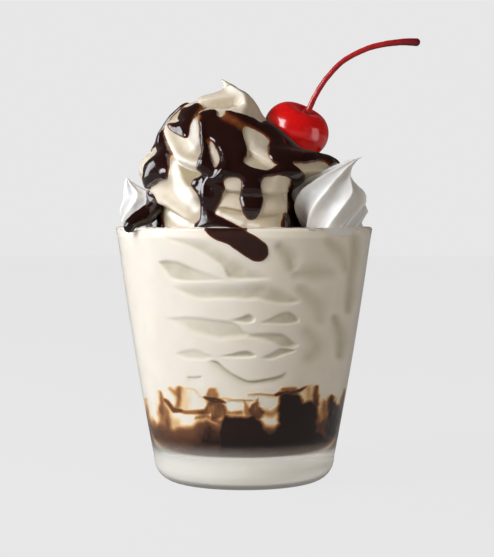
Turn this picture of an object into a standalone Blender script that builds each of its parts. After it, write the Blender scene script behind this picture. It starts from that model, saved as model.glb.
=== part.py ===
"""Ice cream sundae in its glass: soft serve over fudge, with fudge sauce, cream rosettes and a cherry.

Metres, +Z up. The origin is the centre of the glass's flat foot, and -Y is the side seen first.
Angles in plan are taken from the front (-Y) towards the right (+X).
"""

from math import cos, exp, hypot, pi, radians, sin, sqrt

import bmesh
import bpy
from mathutils import Vector

NAME = "ice_cream_sundae"

# Touching pieces keep this gap, and this one where a rosette or the cherry sits in the soft serve.
GAP = 0.0004
SEAT_GAP = 0.0009

# The glass: a straight-sided tumbler with a thick base.
GLASS_HEIGHT = 0.0893
RIM_RADIUS = 0.0450
HEEL_RADIUS = 0.0318
HEEL_ROUNDING = 0.0078
SIDE_BOW = 0.0006
WALL = 0.0022
RIM_ROUNDING = 0.0010
BASE_THICKNESS = 0.0145
INNER_ROUNDING = 0.0095
CORNER_ANGLES = (0, 30, 60, 90)
GLASS_SEGMENTS = 36

# The fudge in the foot of the glass, whose top runs up the wall in uneven peaks.
FUDGE_MIDDLE = 0.0235
FUDGE_RISE = 0.0060
FUDGE_PEAKS = 0.0038
FUDGE_GAP = 0.0005

# The soft serve: a filling up to the rim, and a swirl on top of it.
FILL_TOP = 0.0868
SWIRL_SEGMENTS = 54
FILL_ROWS = 5
SWIRL_ROWS = 23
RIDGE_DEPTH = 0.0021
RIDGE_PITCH = 0.0077
RIDGE_DROP = 0.0130
# Height, left edge and right edge of the swirl as it is seen from the front.
SWIRL_OUTLINE = (
    (0.0868, -0.0310, 0.0330),
    (0.0950, -0.0325, 0.0340),
    (0.1022, -0.0335, 0.0340),
    (0.1100, -0.0325, 0.0330),
    (0.1148, -0.0312, 0.0290),
    (0.1190, -0.0298, 0.0195),
    (0.1230, -0.0280, 0.0125),
    (0.1271, -0.0255, 0.0078),
    (0.1316, -0.0210, 0.0055),
    (0.1345, -0.0145, 0.0025),
    (0.1362, -0.0082, 0.0000),
    (0.1388, -0.0068, -0.0034),
    (0.1411, -0.0083, -0.0077),
)

# The fudge sauce: a cap over the swirl's shoulders, with drips that reach different depths.
SAUCE_THICKNESS = 0.0014
SAUCE_GAP = 0.0011
SAUCE_ROWS = 9
# The band is worked out from its middle: up to its top, and down to its wavy edge or a drip's end.
SAUCE_MIDDLE = 0.1105
SAUCE_TOP = 0.1325
SAUCE_EDGE = 0.1085
SAUCE_WAVE = 0.0010
SAUCE_STEP = 0.0004
SAUCE_SLOPE = 0.0014
# Where each drip runs down, how wide it is in degrees, and how low it ends.
DRIPS = (
    (-84, 13, 0.0905),
    (-24, 10, 0.0908),
    (4, 8, 0.0935),
    (28, 7, 0.0905),
    (115, 10, 0.0960),
    (160, 12, 0.0915),
    (215, 10, 0.0985),
)

# The two piped rosettes of whipped cream: place, tip, radii and number of flutes.
ROSETTE_FOOT = 0.0874
ROSETTE_ROWS = 15
ROSETTE_SEGMENTS = 20
ROSETTES = (
    ("cream_rosette_right", (0.0295, -0.0145), (0.0403, -0.0140, 0.1140), 0.0126),
    ("cream_rosette_left", (-0.0305, 0.0120), (-0.0412, 0.0100, 0.1070), 0.0108),
)
FLUTES = 5
FLUTE_DEPTH = 0.22
FLUTE_TWIST = radians(75)

# The maraschino cherry and its stem.
CHERRY_CENTRE = Vector((0.0184, -0.0010, 0.1243))
CHERRY_RADIUS = 0.0108
CHERRY_HALF_HEIGHT = 0.0092
CHERRY_DIMPLE = 0.0024
DIMPLE_WIDTH = 0.40
# The way that the dimple faces: up, to the right and to the front.
CHERRY_AXIS = Vector((0.40, -0.66, 0.64)).normalized()
STEM_RADIUS = 0.0008
STEM_END_RADIUS = 0.0013
# The stem's way from over the dimple to its free end, seen from the front.
STEM_ROUTE = (
    (0.0228, 0.1310),
    (0.0242, 0.1355),
    (0.0284, 0.1415),
    (0.0354, 0.1485),
    (0.0441, 0.1523),
    (0.0529, 0.1540),
    (0.0616, 0.1541),
)


def smooth(x):
    """The usual 0 to 1 ease between x = 0 and x = 1."""
    x = min(max(x, 0.0), 1.0)
    return x * x * (3 - 2 * x)


def remove_objects():
    for old in list(bpy.data.objects):
        bpy.data.objects.remove(old)


def make_collection(name):
    collection = bpy.data.collections.new(name)
    bpy.context.scene.collection.children.link(collection)
    return collection


def make_material(name, colour, roughness, transmission=0.0):
    material = bpy.data.materials.new(name)
    material.use_nodes = True
    shader = material.node_tree.nodes["Principled BSDF"]
    shader.inputs["Base Color"].default_value = (*colour, 1.0)
    shader.inputs["Roughness"].default_value = roughness
    shader.inputs["Transmission Weight"].default_value = transmission
    return material


def add_object(name, mesh, collection, material, parent):
    mesh.materials.append(material)
    mesh.shade_smooth()
    piece = bpy.data.objects.new(name, mesh)
    piece.parent = parent
    collection.objects.link(piece)
    return piece


def loft(name, rings, closed=False):
    """A closed skin over rings of equal length, from the lowest to the highest.

    The first and last ring get a cap each, or, when closed, meet each other.
    """
    shape = bmesh.new()
    rows = [[shape.verts.new(point) for point in ring] for ring in rings]
    pairs = list(zip(rows, rows[1:], strict=False))
    if closed:
        pairs.append((rows[-1], rows[0]))
    for low, high in pairs:
        for i in range(len(low)):
            j = (i + 1) % len(low)
            shape.faces.new((low[i], low[j], high[j], high[i]))
    if not closed:
        shape.faces.new(rows[0])
        shape.faces.new(rows[-1])
    bmesh.ops.triangulate(shape, faces=shape.faces[:])
    bmesh.ops.recalc_face_normals(shape, faces=shape.faces[:])
    mesh = bpy.data.meshes.new(name)
    shape.to_mesh(mesh)
    shape.free()
    return mesh


def towards(angle):
    """The level unit vector at this angle from the front."""
    return Vector((sin(angle), -cos(angle), 0.0))


def wall_radius(height):
    """The outer radius of the glass above its rounded heel."""
    share = min(max((height - HEEL_ROUNDING) / (GLASS_HEIGHT - HEEL_ROUNDING), 0.0), 1.0)
    return HEEL_RADIUS + (RIM_RADIUS - HEEL_RADIUS) * share + SIDE_BOW * sin(pi * share)


def inside_radius(height):
    """The inner radius of the glass, with the round corner over its base."""
    low = height - BASE_THICKNESS
    if low >= INNER_ROUNDING:
        return wall_radius(height) - WALL
    corner = wall_radius(BASE_THICKNESS + INNER_ROUNDING) - WALL - INNER_ROUNDING
    return corner + sqrt(max(INNER_ROUNDING**2 - (INNER_ROUNDING - low) ** 2, 0.0))


def arc(centre_x, centre_z, radius, start, end, steps):
    """Points of an arc in the profile's plane, in degrees from +X."""
    turns = [radians(start + (end - start) * i / steps) for i in range(steps + 1)]
    return [(centre_x + radius * cos(t), centre_z + radius * sin(t)) for t in turns]


def build_glass(collection, material, parent):
    """The tumbler is turned: its profile runs over the rim, down the outside and back up the inside."""
    rim = RIM_RADIUS - RIM_ROUNDING
    outside = [wall_radius(GLASS_HEIGHT * k / 4) for k in (3, 2, 1)]
    profile = arc(rim, GLASS_HEIGHT - RIM_ROUNDING, RIM_ROUNDING, 90, 0, 2)
    profile += [(radius, GLASS_HEIGHT * k / 4) for radius, k in zip(outside, (3, 2, 1), strict=True)]
    profile += arc(HEEL_RADIUS - HEEL_ROUNDING, HEEL_ROUNDING, HEEL_ROUNDING, 0, -90, 5)
    profile.append((0.0, 0.0))
    profile.append((0.0, BASE_THICKNESS))
    for angle in CORNER_ANGLES:
        height = BASE_THICKNESS + INNER_ROUNDING * (1 - cos(radians(angle)))
        profile.append((inside_radius(height), height))
    for k in (1, 2, 3):
        profile.append((inside_radius(GLASS_HEIGHT * k / 4), GLASS_HEIGHT * k / 4))
    profile.append((RIM_RADIUS - WALL, GLASS_HEIGHT - RIM_ROUNDING))
    mesh = bpy.data.meshes.new("glass")
    edges = [(i, (i + 1) % len(profile)) for i in range(len(profile))]
    mesh.from_pydata([(x, 0.0, z) for x, z in profile], edges, [])
    glass = add_object("glass", mesh, collection, material, parent)
    screw = glass.modifiers.new("turn", "SCREW")
    screw.steps = GLASS_SEGMENTS
    screw.render_steps = GLASS_SEGMENTS
    screw.use_merge_vertices = True
    screw.merge_threshold = 0.0001
    screw.use_smooth_shade = True


def fudge_height(angle, radius):
    """The height of the fudge's uneven top: calm in the middle, in peaks along the wall."""
    waves = 0.50 * sin(3 * angle + 0.4) + 0.42 * sin(5 * angle + 2.1) + 0.30 * sin(8 * angle - 0.7)
    near_wall = smooth(radius / inside_radius(FUDGE_MIDDLE))
    return FUDGE_MIDDLE + (FUDGE_RISE + FUDGE_PEAKS * waves) * near_wall


def turn_of(i, count):
    return 2 * pi * i / count


def wall_point(angle, height, gap=GAP):
    return towards(angle) * (inside_radius(height) - gap) + Vector((0.0, 0.0, height))


def fudge_rings(lift):
    """Rings over the fudge's top, from the wall to the middle, raised by lift."""
    rings = []
    for share in (0.99, 0.8, 0.5, 0.2):
        ring = []
        for i in range(SWIRL_SEGMENTS):
            angle = turn_of(i, SWIRL_SEGMENTS)
            edge = fudge_height(angle, inside_radius(FUDGE_MIDDLE)) + lift
            radius = (inside_radius(edge) - GAP) * share
            height = edge if share > 0.9 else fudge_height(angle, radius) + lift
            ring.append(towards(angle) * radius + Vector((0.0, 0.0, height)))
        rings.append(ring)
    return rings


def build_fudge_layer(collection, material, parent):
    """The layer fits the glass's round inner corner, and its top is uneven."""
    centre = Vector((0.0, 0.0, BASE_THICKNESS + INNER_ROUNDING))
    corner = inside_radius(centre.z) - INNER_ROUNDING
    rounding = INNER_ROUNDING - GAP
    rings = []
    for angle in CORNER_ANGLES:
        out = corner + rounding * sin(radians(angle))
        low = centre - Vector((0.0, 0.0, rounding * cos(radians(angle))))
        rings.append([low + towards(turn_of(i, SWIRL_SEGMENTS)) * out for i in range(SWIRL_SEGMENTS)])
    rings += fudge_rings(0.0)
    add_object("fudge_layer", loft("fudge_layer", rings), collection, material, parent)


def even_heights(count):
    """Heights from the swirl's foot to its tip that lie evenly along its outline."""
    lengths = [0.0]
    for (low, left0, right0), (high, left1, right1) in zip(SWIRL_OUTLINE, SWIRL_OUTLINE[1:], strict=False):
        rise = high - low
        lengths.append(lengths[-1] + hypot(rise, left1 - left0) + hypot(rise, right1 - right0))
    heights = []
    for row in range(count + 1):
        goal = lengths[-1] * row / count
        k = next(k for k in range(len(lengths) - 1) if goal <= lengths[k + 1] + GAP * GAP)
        share = (goal - lengths[k]) / (lengths[k + 1] - lengths[k])
        low, high = SWIRL_OUTLINE[k][0], SWIRL_OUTLINE[k + 1][0]
        heights.append(low + (high - low) * share)
    return heights


def outline_at(height):
    """The swirl's left and right edge at a height, between the outline's own points."""
    rows = SWIRL_OUTLINE
    if height <= rows[0][0]:
        return rows[0][1:]
    for (low, left0, right0), (high, left1, right1) in zip(rows, rows[1:], strict=False):
        if height <= high:
            share = (height - low) / (high - low)
            return left0 + (left1 - left0) * share, right0 + (right1 - right0) * share
    return rows[-1][1:]


def rosette_axis(base, tip, share):
    """A point of a rosette's axis, which leans only near its tip."""
    lean = share**2.2
    x = base[0] + (tip[0] - base[0]) * lean
    y = base[1] + (tip[1] - base[1]) * lean
    return Vector((x, y, ROSETTE_FOOT + (tip[2] - ROSETTE_FOOT) * share))


def rosette_radius(radius, share):
    """A rosette's radius from foot to tip: widest a third of the way up, then a fine point."""
    belly = 0.80 + 0.20 * sin(pi * min(share / 0.34, 1.0) / 2)
    return max(radius * belly * (1 - smooth((share - 0.22) / 0.85)) ** 1.15, 0.0004)


def obstacles(height):
    """The level circles that the rosettes and the cherry take up at this height."""
    circles = []
    for _, base, tip, radius in ROSETTES:
        share = max((height - ROSETTE_FOOT) / (tip[2] - ROSETTE_FOOT), 0.0)
        if share <= 1:
            circles.append((rosette_axis(base, tip, share), rosette_radius(radius, share) + SEAT_GAP))
    drop = abs(height - CHERRY_CENTRE.z)
    ball = CHERRY_RADIUS + SEAT_GAP
    if drop < ball:
        circles.append((CHERRY_CENTRE, sqrt(ball**2 - drop**2)))
    return circles


def room(centre, way, height):
    """How far from the swirl's axis the swirl may reach this way before it meets a neighbour."""
    least = RIM_RADIUS
    column = 2 * pi * RIM_RADIUS / SWIRL_SEGMENTS
    for circle, radius in obstacles(height):
        offset = circle - centre
        along = offset.x * way.x + offset.y * way.y
        beside = abs(offset.x * way.y - offset.y * way.x)
        if along > 0 and beside < radius + column:
            least = min(least, along - sqrt(max(radius**2 - beside**2, 0.0)))
    return least


def ridge(angle, height):
    """0 on the back of a ridge and 1 in the crease under it. Ridges wind down towards the right."""
    front_left = smooth((angle + pi / 2) / (pi / 2)) if angle < pi else 0.0
    wind = RIDGE_PITCH * 2 * angle / (2 * pi) + (RIDGE_DROP - RIDGE_PITCH) * front_left
    phase = ((height + wind) / RIDGE_PITCH) % 1.0
    return exp(-((min(phase, 1.0 - phase) / 0.20) ** 2))


def swirl_point(angle, height, creased=True):
    """A point on the swirl or, without creases, on the envelope of its ridges."""
    left, right = outline_at(height)
    centre = Vector(((left + right) / 2, 0.0, height))
    radius = (right - left) / 2
    if creased:
        fade = smooth((radius - 0.002) / 0.010)
        radius -= RIDGE_DEPTH * fade * ridge(angle, height)
    way = towards(angle)
    return centre + way * min(radius, room(centre, way, height))


def off_swirl(angle, height, out):
    """A point this far out from the swirl's envelope, square to it."""
    step = 0.0015
    along = swirl_point(angle, height + step, False) - swirl_point(angle, height - step, False)
    way = towards(angle)
    square = way * along.z - Vector((0.0, 0.0, along.dot(way)))
    return swirl_point(angle, height, False) + square.normalized() * out


def signed(angle):
    """The same angle between -180 and 180 degrees."""
    return (angle + pi) % (2 * pi) - pi


def build_soft_serve(collection, material, parent):
    """One solid: the filling from the fudge to the rim, then the swirl up to its curled tip."""
    angles = [signed(turn_of(i, SWIRL_SEGMENTS)) for i in range(SWIRL_SEGMENTS)]
    rings = list(reversed(fudge_rings(FUDGE_GAP)))
    for row in range(1, FILL_ROWS + 1):
        ring = []
        for angle in angles:
            low = fudge_height(angle, inside_radius(FUDGE_MIDDLE)) + FUDGE_GAP
            height = low + (FILL_TOP - low) * row / FILL_ROWS
            ring.append(wall_point(angle, height))
        rings.append(ring)
    for height in even_heights(SWIRL_ROWS):
        rings.append([swirl_point(a, height) for a in angles])
    add_object("soft_serve", loft("soft_serve", rings), collection, material, parent)


def clear_reach(angle, goal):
    """The height nearest to the goal that the sauce can reach without touching a neighbour."""
    height = SAUCE_MIDDLE
    step = SAUCE_STEP if goal > height else -SAUCE_STEP
    while abs(goal - height) > SAUCE_STEP:
        left, right = outline_at(height + step)
        centre = Vector(((left + right) / 2, 0.0, height + step))
        needed = (right - left) / 2 + SAUCE_GAP + SAUCE_THICKNESS
        if room(centre, towards(angle), height + step) < needed:
            return height
        height += step
    return goal


def sauce_tops():
    """The height of the sauce's upper edge at each segment, which changes little from one to the next."""
    count = range(SWIRL_SEGMENTS)
    reach = [clear_reach(signed(turn_of(i, SWIRL_SEGMENTS)), SAUCE_TOP) for i in count]
    return [min(reach[j] + SAUCE_SLOPE * steps_apart(i, j) for j in count) for i in count]


def steps_apart(i, j):
    apart = abs(i - j)
    return min(apart, SWIRL_SEGMENTS - apart)


def drip_end(angle):
    """How low the sauce reaches at this angle: the deepest of the drips here, or the cap's edge."""
    lowest = SAUCE_EDGE + SAUCE_WAVE * sin(3 * angle + 1.0)
    edge = lowest
    for place, width, end in DRIPS:
        off = abs(signed(angle - radians(place))) / radians(width)
        edge = min(edge, lowest - (lowest - end) * (1 - smooth(off * 0.9)))
    return clear_reach(angle, edge)


def build_fudge_sauce(collection, material, parent):
    """A closed band round the shoulders: up its inner side, over the top edge and down its outer side."""
    steps = [row / SAUCE_ROWS for row in range(SAUCE_ROWS + 1)]
    tops = sauce_tops()
    sheets = []
    for side in (0, 1):
        for step in steps if side == 0 else reversed(steps):
            rounding = sqrt(1 - abs(2 * step - 1) ** 6) * 0.75 + 0.25
            out = SAUCE_GAP + side * SAUCE_THICKNESS * rounding
            ring = []
            for i in range(SWIRL_SEGMENTS):
                angle = signed(turn_of(i, SWIRL_SEGMENTS))
                low = drip_end(angle)
                high = tops[i]
                ring.append(off_swirl(angle, low + (high - low) * step, out))
            sheets.append(ring)
    mesh = loft("fudge_sauce", sheets, closed=True)
    add_object("fudge_sauce", mesh, collection, material, parent)


def build_rosette(name, base, tip, radius, collection, material, parent):
    """A piped star: flutes that twist round a leaning axis and close in a fine point."""
    rings = []
    inner_rim = RIM_RADIUS - WALL - 2 * GAP
    for row in range(ROSETTE_ROWS + 1):
        share = row / ROSETTE_ROWS
        axis = rosette_axis(base, tip, share)
        ring = []
        for i in range(ROSETTE_SEGMENTS):
            angle = turn_of(i, ROSETTE_SEGMENTS)
            flute = abs(sin(FLUTES / 2 * (angle + FLUTE_TWIST * share)))
            reach = rosette_radius(radius, share) * (1 - FLUTE_DEPTH * (1 - flute))
            point = axis + towards(angle) * reach
            across = hypot(point.x, point.y)
            if axis.z < GLASS_HEIGHT + GAP and across > inner_rim:
                point.x *= inner_rim / across
                point.y *= inner_rim / across
            ring.append(point)
        rings.append(ring)
    add_object(name, loft(name, rings), collection, material, parent)


def build_cherry(collection, material, parent):
    """A ball a little wider than tall, with a dimple round the stem."""
    shape = bmesh.new()
    bmesh.ops.create_uvsphere(shape, u_segments=22, v_segments=13, radius=1.0)
    for vert in shape.verts:
        away = hypot(vert.co.x, vert.co.y)
        dimple = CHERRY_DIMPLE * exp(-((away / DIMPLE_WIDTH) ** 2)) if vert.co.z > 0 else 0.0
        vert.co *= Vector((CHERRY_RADIUS, CHERRY_RADIUS, CHERRY_HALF_HEIGHT))
        vert.co.z -= dimple
    mesh = bpy.data.meshes.new("cherry")
    shape.to_mesh(mesh)
    shape.free()
    cherry = add_object("cherry", mesh, collection, material, parent)
    cherry.location = CHERRY_CENTRE
    cherry.rotation_euler = CHERRY_AXIS.to_track_quat("Z", "Y").to_euler()


def build_stem(collection, material, parent):
    curve = bpy.data.curves.new("cherry_stem", "CURVE")
    curve.dimensions = "3D"
    curve.bevel_depth = STEM_RADIUS
    curve.bevel_resolution = 2
    curve.resolution_u = 3
    curve.use_fill_caps = True
    spline = curve.splines.new("BEZIER")
    pit = CHERRY_CENTRE + CHERRY_AXIS * (CHERRY_HALF_HEIGHT - CHERRY_DIMPLE + 2 * GAP)
    route = [pit] + [Vector((x, pit.y, z)) for x, z in STEM_ROUTE]
    spline.bezier_points.add(len(route) - 1)
    for point, place in zip(spline.bezier_points, route, strict=True):
        point.co = place
        point.handle_left_type = "AUTO"
        point.handle_right_type = "AUTO"
    spline.bezier_points[-1].radius = STEM_END_RADIUS / STEM_RADIUS
    curve.materials.append(material)
    stem = bpy.data.objects.new("cherry_stem", curve)
    stem.parent = parent
    collection.objects.link(stem)


def main():
    remove_objects()
    collection = make_collection(NAME)
    root = bpy.data.objects.new("foot", None)
    collection.objects.link(root)
    glass = make_material("frosted_glass", (0.93, 0.93, 0.91), 0.25, 0.8)
    cream = make_material("soft_serve_cream", (0.86, 0.82, 0.72), 0.45)
    whipped = make_material("whipped_cream", (0.84, 0.83, 0.84), 0.5)
    fudge = make_material("fudge", (0.020, 0.008, 0.006), 0.15)
    cherry_red = make_material("cherry_red", (0.62, 0.010, 0.012), 0.12)
    stem_red = make_material("stem_red", (0.33, 0.012, 0.014), 0.4)
    build_glass(collection, glass, root)
    build_fudge_layer(collection, fudge, root)
    build_soft_serve(collection, cream, root)
    build_fudge_sauce(collection, fudge, root)
    for name, base, tip, radius in ROSETTES:
        build_rosette(name, base, tip, radius, collection, whipped, root)
    build_cherry(collection, cherry_red, root)
    build_stem(collection, stem_red, root)


main()
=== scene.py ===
"""The looks of the ice cream sundae: soft serve, sauce, foot of fudge, rosettes, cherry and frosted glass.

Metres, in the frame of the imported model: the glass stands on Z = 0, and -Y is the side first seen.
Angles in plan are taken from the front (-Y) towards the right (+X). Lists of places are in millimetres.
"""

from math import degrees, pi, radians

import bmesh
import bpy
import numpy as np
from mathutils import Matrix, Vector


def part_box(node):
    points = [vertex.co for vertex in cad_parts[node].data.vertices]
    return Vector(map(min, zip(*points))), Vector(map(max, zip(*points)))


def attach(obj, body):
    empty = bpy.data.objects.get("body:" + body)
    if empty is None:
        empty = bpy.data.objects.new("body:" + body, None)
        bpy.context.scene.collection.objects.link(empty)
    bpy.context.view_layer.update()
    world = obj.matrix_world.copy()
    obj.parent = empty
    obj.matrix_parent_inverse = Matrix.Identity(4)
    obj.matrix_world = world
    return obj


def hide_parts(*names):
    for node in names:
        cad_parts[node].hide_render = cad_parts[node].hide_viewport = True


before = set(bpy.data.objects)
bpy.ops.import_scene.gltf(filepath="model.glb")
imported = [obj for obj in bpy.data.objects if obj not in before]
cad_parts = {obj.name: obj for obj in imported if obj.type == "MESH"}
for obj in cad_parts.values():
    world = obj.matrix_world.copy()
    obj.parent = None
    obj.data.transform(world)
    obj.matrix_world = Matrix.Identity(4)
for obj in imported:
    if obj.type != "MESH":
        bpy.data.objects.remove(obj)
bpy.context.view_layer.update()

MM = 0.001

# The eye stands in front of the glass, a little above its rim. Places that are given as (x, z) lie on the
# upright plane through the glass's axis, and are carried from there along the eye's line to a surface.
EYE = np.array((0.001, -0.575, 0.0943))
EYE_TILT = radians(2.32)
EYE_LENS = 105.35

# The glass, whose height and rim come from its CAD node.
GLASS_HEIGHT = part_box("glass")[1][2]
RIM_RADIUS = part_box("glass")[1][0]
HEEL_RADIUS = 31.8 * MM
HEEL_ROUNDING = 7.8 * MM
SIDE_BOW = 0.6 * MM
WALL = 2.2 * MM
RIM_ROUNDING = 1.0 * MM
BASE_THICKNESS = 12.8 * MM
INNER_ROUNDING = 11.2 * MM
CORNER_TOP = BASE_THICKNESS + INNER_ROUNDING
GLASS_SEGMENTS = 160
SIDE_STEPS = 24
# The profile ends this far from the axis, and a fan of faces closes the rest.
GLASS_PIN = 0.4 * MM

# What fills the glass reaches this far into its wall.
INTO_WALL = 0.2 * MM
FILL_TOP = GLASS_HEIGHT - 0.6 * MM
FOOT_TOP = 37.0 * MM

# Height, left edge and right edge of the swirl as it is seen from the front, in millimetres.
SWIRL_OUTLINE = (
    (86.8, -35, 33), (95, -36.8, 34), (102.2, -37.4, 34), (107.6, -37.4, 33.8), (111, -36.6, 32.4),
    (113.4, -35.2, 29.4), (114.9, -33.2, 23.6), (116.2, -31.9, 20.2), (118.2, -30.6, 17.6),
    (121.4, -29.2, 13.9), (124.4, -27.4, 10.2), (128.2, -24.6, 6.6), (132, -20.4, 4.6),
    (134.5, -14.8, 2.2), (136.2, -8.4, 0), (138.8, -6.8, -3.2), (141.1, -8.3, -7.7),
)
SWIRL_REACH = 33.0 * MM
# Height, and how far the swirl reaches forward and back from its middle, in millimetres.
SWIRL_DEPTHS = (
    (86.8, 34), (95, 35.2), (102, 35.4), (107, 34.4), (111, 32.6), (115, 29.8), (119, 26.4), (123, 22.6),
    (127, 18.4), (131, 13.8), (134.5, 8.8), (136.4, 4.6), (138.8, 2.2), (141.1, 0.4),
)

# Rows and columns of each piece's grid of points.
FILLING_GRID = (190, 420)
SWIRL_GRID = (215, 420)
SAUCE_GRID = (330, 680)
WALL_TONGUE_GRID = (90, 200)
FOOT_GRID = (110, 460)
ROSETTE_GRID = (150, 240)
CHERRY_GRID = (120, 160)
RIM_DROP_SIDES = 40
STEM_SIDES = 24

# ---------------------------------------------------------------- small tools


def smooth(x):
    """The usual 0 to 1 ease between x = 0 and x = 1."""
    x = np.clip(x, 0.0, 1.0)
    return x * x * (3 - 2 * x)


def eased_maximum(first, second, ease):
    """The larger of two values, rounded off where they cross."""
    return 0.5 * (first + second + np.sqrt((first - second) ** 2 + ease**2))


def unit(vectors):
    """The vectors at length 1."""
    return vectors / np.maximum(np.linalg.norm(vectors, axis=-1, keepdims=True), 1e-12)


def towards(angle):
    """Level unit vectors at these angles from the front."""
    return np.stack((np.sin(angle), -np.cos(angle), np.zeros_like(angle)), axis=-1)


def angle_of(points):
    """Angles of points round the axis, from the front."""
    return np.arctan2(points[..., 0], -points[..., 1])


def ripple(points, scale, seed, octaves=3):
    """Smooth seeded unevenness of about -1 to 1, from sine waves in many directions."""
    draw = np.random.default_rng(seed)
    total = np.zeros(points.shape[:-1])
    size = 1.0
    for _ in range(octaves):
        for _ in range(5):
            way = unit(draw.normal(size=3)) * 2 * pi / (scale * size) * draw.uniform(0.7, 1.3)
            total += size * np.sin(points @ way + draw.uniform(0, 2 * pi)) / 5
        size *= 0.5
    return total * 1.3


def curve_through(points, step):
    """A smooth line through the given points (Catmull-Rom), with a point about every step."""
    points = np.asarray(points, float)
    if len(points) < 3:
        count = max(int(np.linalg.norm(points[1, :2] - points[0, :2]) / step), 2)
        return points[0] + (points[1] - points[0]) * np.linspace(0, 1, count)[:, None]
    padded = np.vstack((2 * points[0] - points[1], points, 2 * points[-1] - points[-2]))
    line = []
    for a, b, c, d in zip(padded, padded[1:], padded[2:], padded[3:], strict=False):
        count = max(int(np.linalg.norm(c[:3] - b[:3]) / step), 2)
        t = np.linspace(0, 1, count, endpoint=False)[:, None]
        bend = 2 * a - 5 * b + 4 * c - d
        twist = 3 * b - a - 3 * c + d
        line.append(0.5 * (2 * b + (c - a) * t + bend * t**2 + twist * t**3))
    line.append(points[-1:])
    return np.vstack(line)


def blurred(grid, rows, cols):
    """The grid smoothed over this many rows and, all the way round, columns."""
    for _ in range(2):
        total = np.zeros_like(grid)
        for k in range(-cols, cols + 1):
            total += np.roll(grid, k, axis=1)
        grid = total / (2 * cols + 1)
        padded = np.concatenate((np.repeat(grid[:1], rows, 0), grid, np.repeat(grid[-1:], rows, 0)))
        sums = np.cumsum(np.concatenate((np.zeros_like(padded[:1]), padded)), axis=0)
        grid = (sums[2 * rows + 1 :] - sums[: -2 * rows - 1]) / (2 * rows + 1)
    return grid


def normals_of(grid):
    """Outward unit normals of a grid of points that runs upwards by rows and round by columns."""
    sideways = np.roll(grid, -1, axis=1) - np.roll(grid, 1, axis=1)
    upwards = np.gradient(grid, axis=0)
    return unit(np.cross(sideways, upwards))


def roughened(grid, height, scale, seed):
    """The grid with a seeded unevenness of this height."""
    return grid + normals_of(grid) * (height * ripple(grid, scale, seed))[..., None]


def all_round(count):
    """Angles from the front, even all the way round, that start at the back."""
    return np.linspace(-pi, pi, count, endpoint=False)


def rings(angles, reach, heights):
    """Level rings of points: for each height its reach, one radius or one for each axis."""
    grid = towards(angles)[None] * reach.reshape(len(reach), 1, -1)
    grid[..., 2] = heights[:, None]
    return grid


def end_fans(rows, cols):
    """Faces that close the first and last row of a grid onto two points that follow the grid's own."""
    count = rows * cols
    last = count - cols
    ring = [(k, (k + 1) % cols) for k in range(cols)]
    return [(b, a, count) for a, b in ring] + [(last + a, last + b, count + 1) for a, b in ring]


def mesh_from_grid(name, grid, keep=None, wrap=True, values=None):
    """A mesh over a grid of points, closed round its columns unless wrap is off.

    keep says which faces stay; without it, the first and last row are capped.
    values are numbers for each point, kept as named attributes.
    """
    rows, cols = grid.shape[:2]
    count = rows * cols
    i = np.arange(rows - 1)[:, None] * cols
    j = np.arange(cols if wrap else cols - 1)[None, :]
    nxt = (j + 1) % cols
    quads = np.stack((i + j, i + nxt, i + cols + nxt, i + cols + j), axis=-1).reshape(-1, 4)
    if keep is not None:
        quads = quads[keep.reshape(-1)]
    points = grid.reshape(-1, 3)
    faces = [tuple(quad) for quad in quads.tolist()]
    if keep is None:
        faces += end_fans(rows, cols)
        points = np.vstack((points, grid[0].mean(axis=0), grid[-1].mean(axis=0)))
    mesh = bpy.data.meshes.new(name)
    mesh.from_pydata(points.tolist(), [], faces)
    for key, numbers in (values or {}).items():
        layer = mesh.attributes.new(key, "FLOAT", "POINT")
        flat = np.zeros(len(points), np.float32)
        flat[:count] = numbers.reshape(-1)
        layer.data.foreach_set("value", flat)
    if keep is not None:
        drop_loose_points(mesh)
    mesh.shade_smooth()
    return mesh


def drop_loose_points(mesh):
    """Takes out the points that no face uses."""
    shape = bmesh.new()
    shape.from_mesh(mesh)
    loose = [vert for vert in shape.verts if not vert.link_faces]
    bmesh.ops.delete(shape, geom=loose, context="VERTS")
    shape.to_mesh(mesh)
    shape.free()


def kept_faces(near):
    """The faces of a grid, closed round its columns, that have a corner near enough to be kept."""
    near = near | np.roll(near, -1, axis=1)
    return near[:-1] | near[1:]


def add_piece(name, grid, material, slot, *nodes, **shape):
    """Puts a mesh over the grid in the scene, as a piece of the sundae that stands for these CAD nodes."""
    mesh = mesh_from_grid(name, grid, **shape)
    piece = bpy.data.objects.new(name, mesh)
    bpy.context.scene.collection.objects.link(piece)
    mesh.materials.append(material)
    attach(piece, "root")
    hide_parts(*nodes)
    return piece


# ---------------------------------------------------------------- strokes on a surface


def seen(points):
    """Where the eye sees points, on the upright plane through the axis: (x, z)."""
    share = -EYE[1] / (points[..., 1] - EYE[1])
    return EYE[[0, 2]] + (points[..., [0, 2]] - EYE[[0, 2]]) * share[..., None]


def facing(points, normals):
    """1 where a surface looks straight at the eye, 0 at its outline and less behind."""
    return -(unit(points - EYE) * normals).sum(axis=-1)


def in_sight(points, normals, ease):
    """1 on the front half of a surface where it looks at the eye, easing to 0 at its outline."""
    return smooth(facing(points, normals) / ease) * smooth((10 * MM - points[..., 1]) / (5 * MM))


def unrolled(grid, radius):
    """The grid laid flat from its angles and heights: 0 degrees in front, and on round to 360."""
    cols = grid.shape[1]
    angles = np.linspace(-pi, pi, cols, endpoint=False) % (2 * pi)
    return np.stack((angles[None] * radius + 0 * grid[..., 2], grid[..., 2]), axis=-1)


def laid_flat(places, radius):
    """Rows of (degrees, height, ...) in the plane that unrolled() makes; they are given in millimetres."""
    rows = np.array(places, float) * MM
    rows[:, 0] = np.radians(rows[:, 0] / MM) * radius
    return rows


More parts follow.
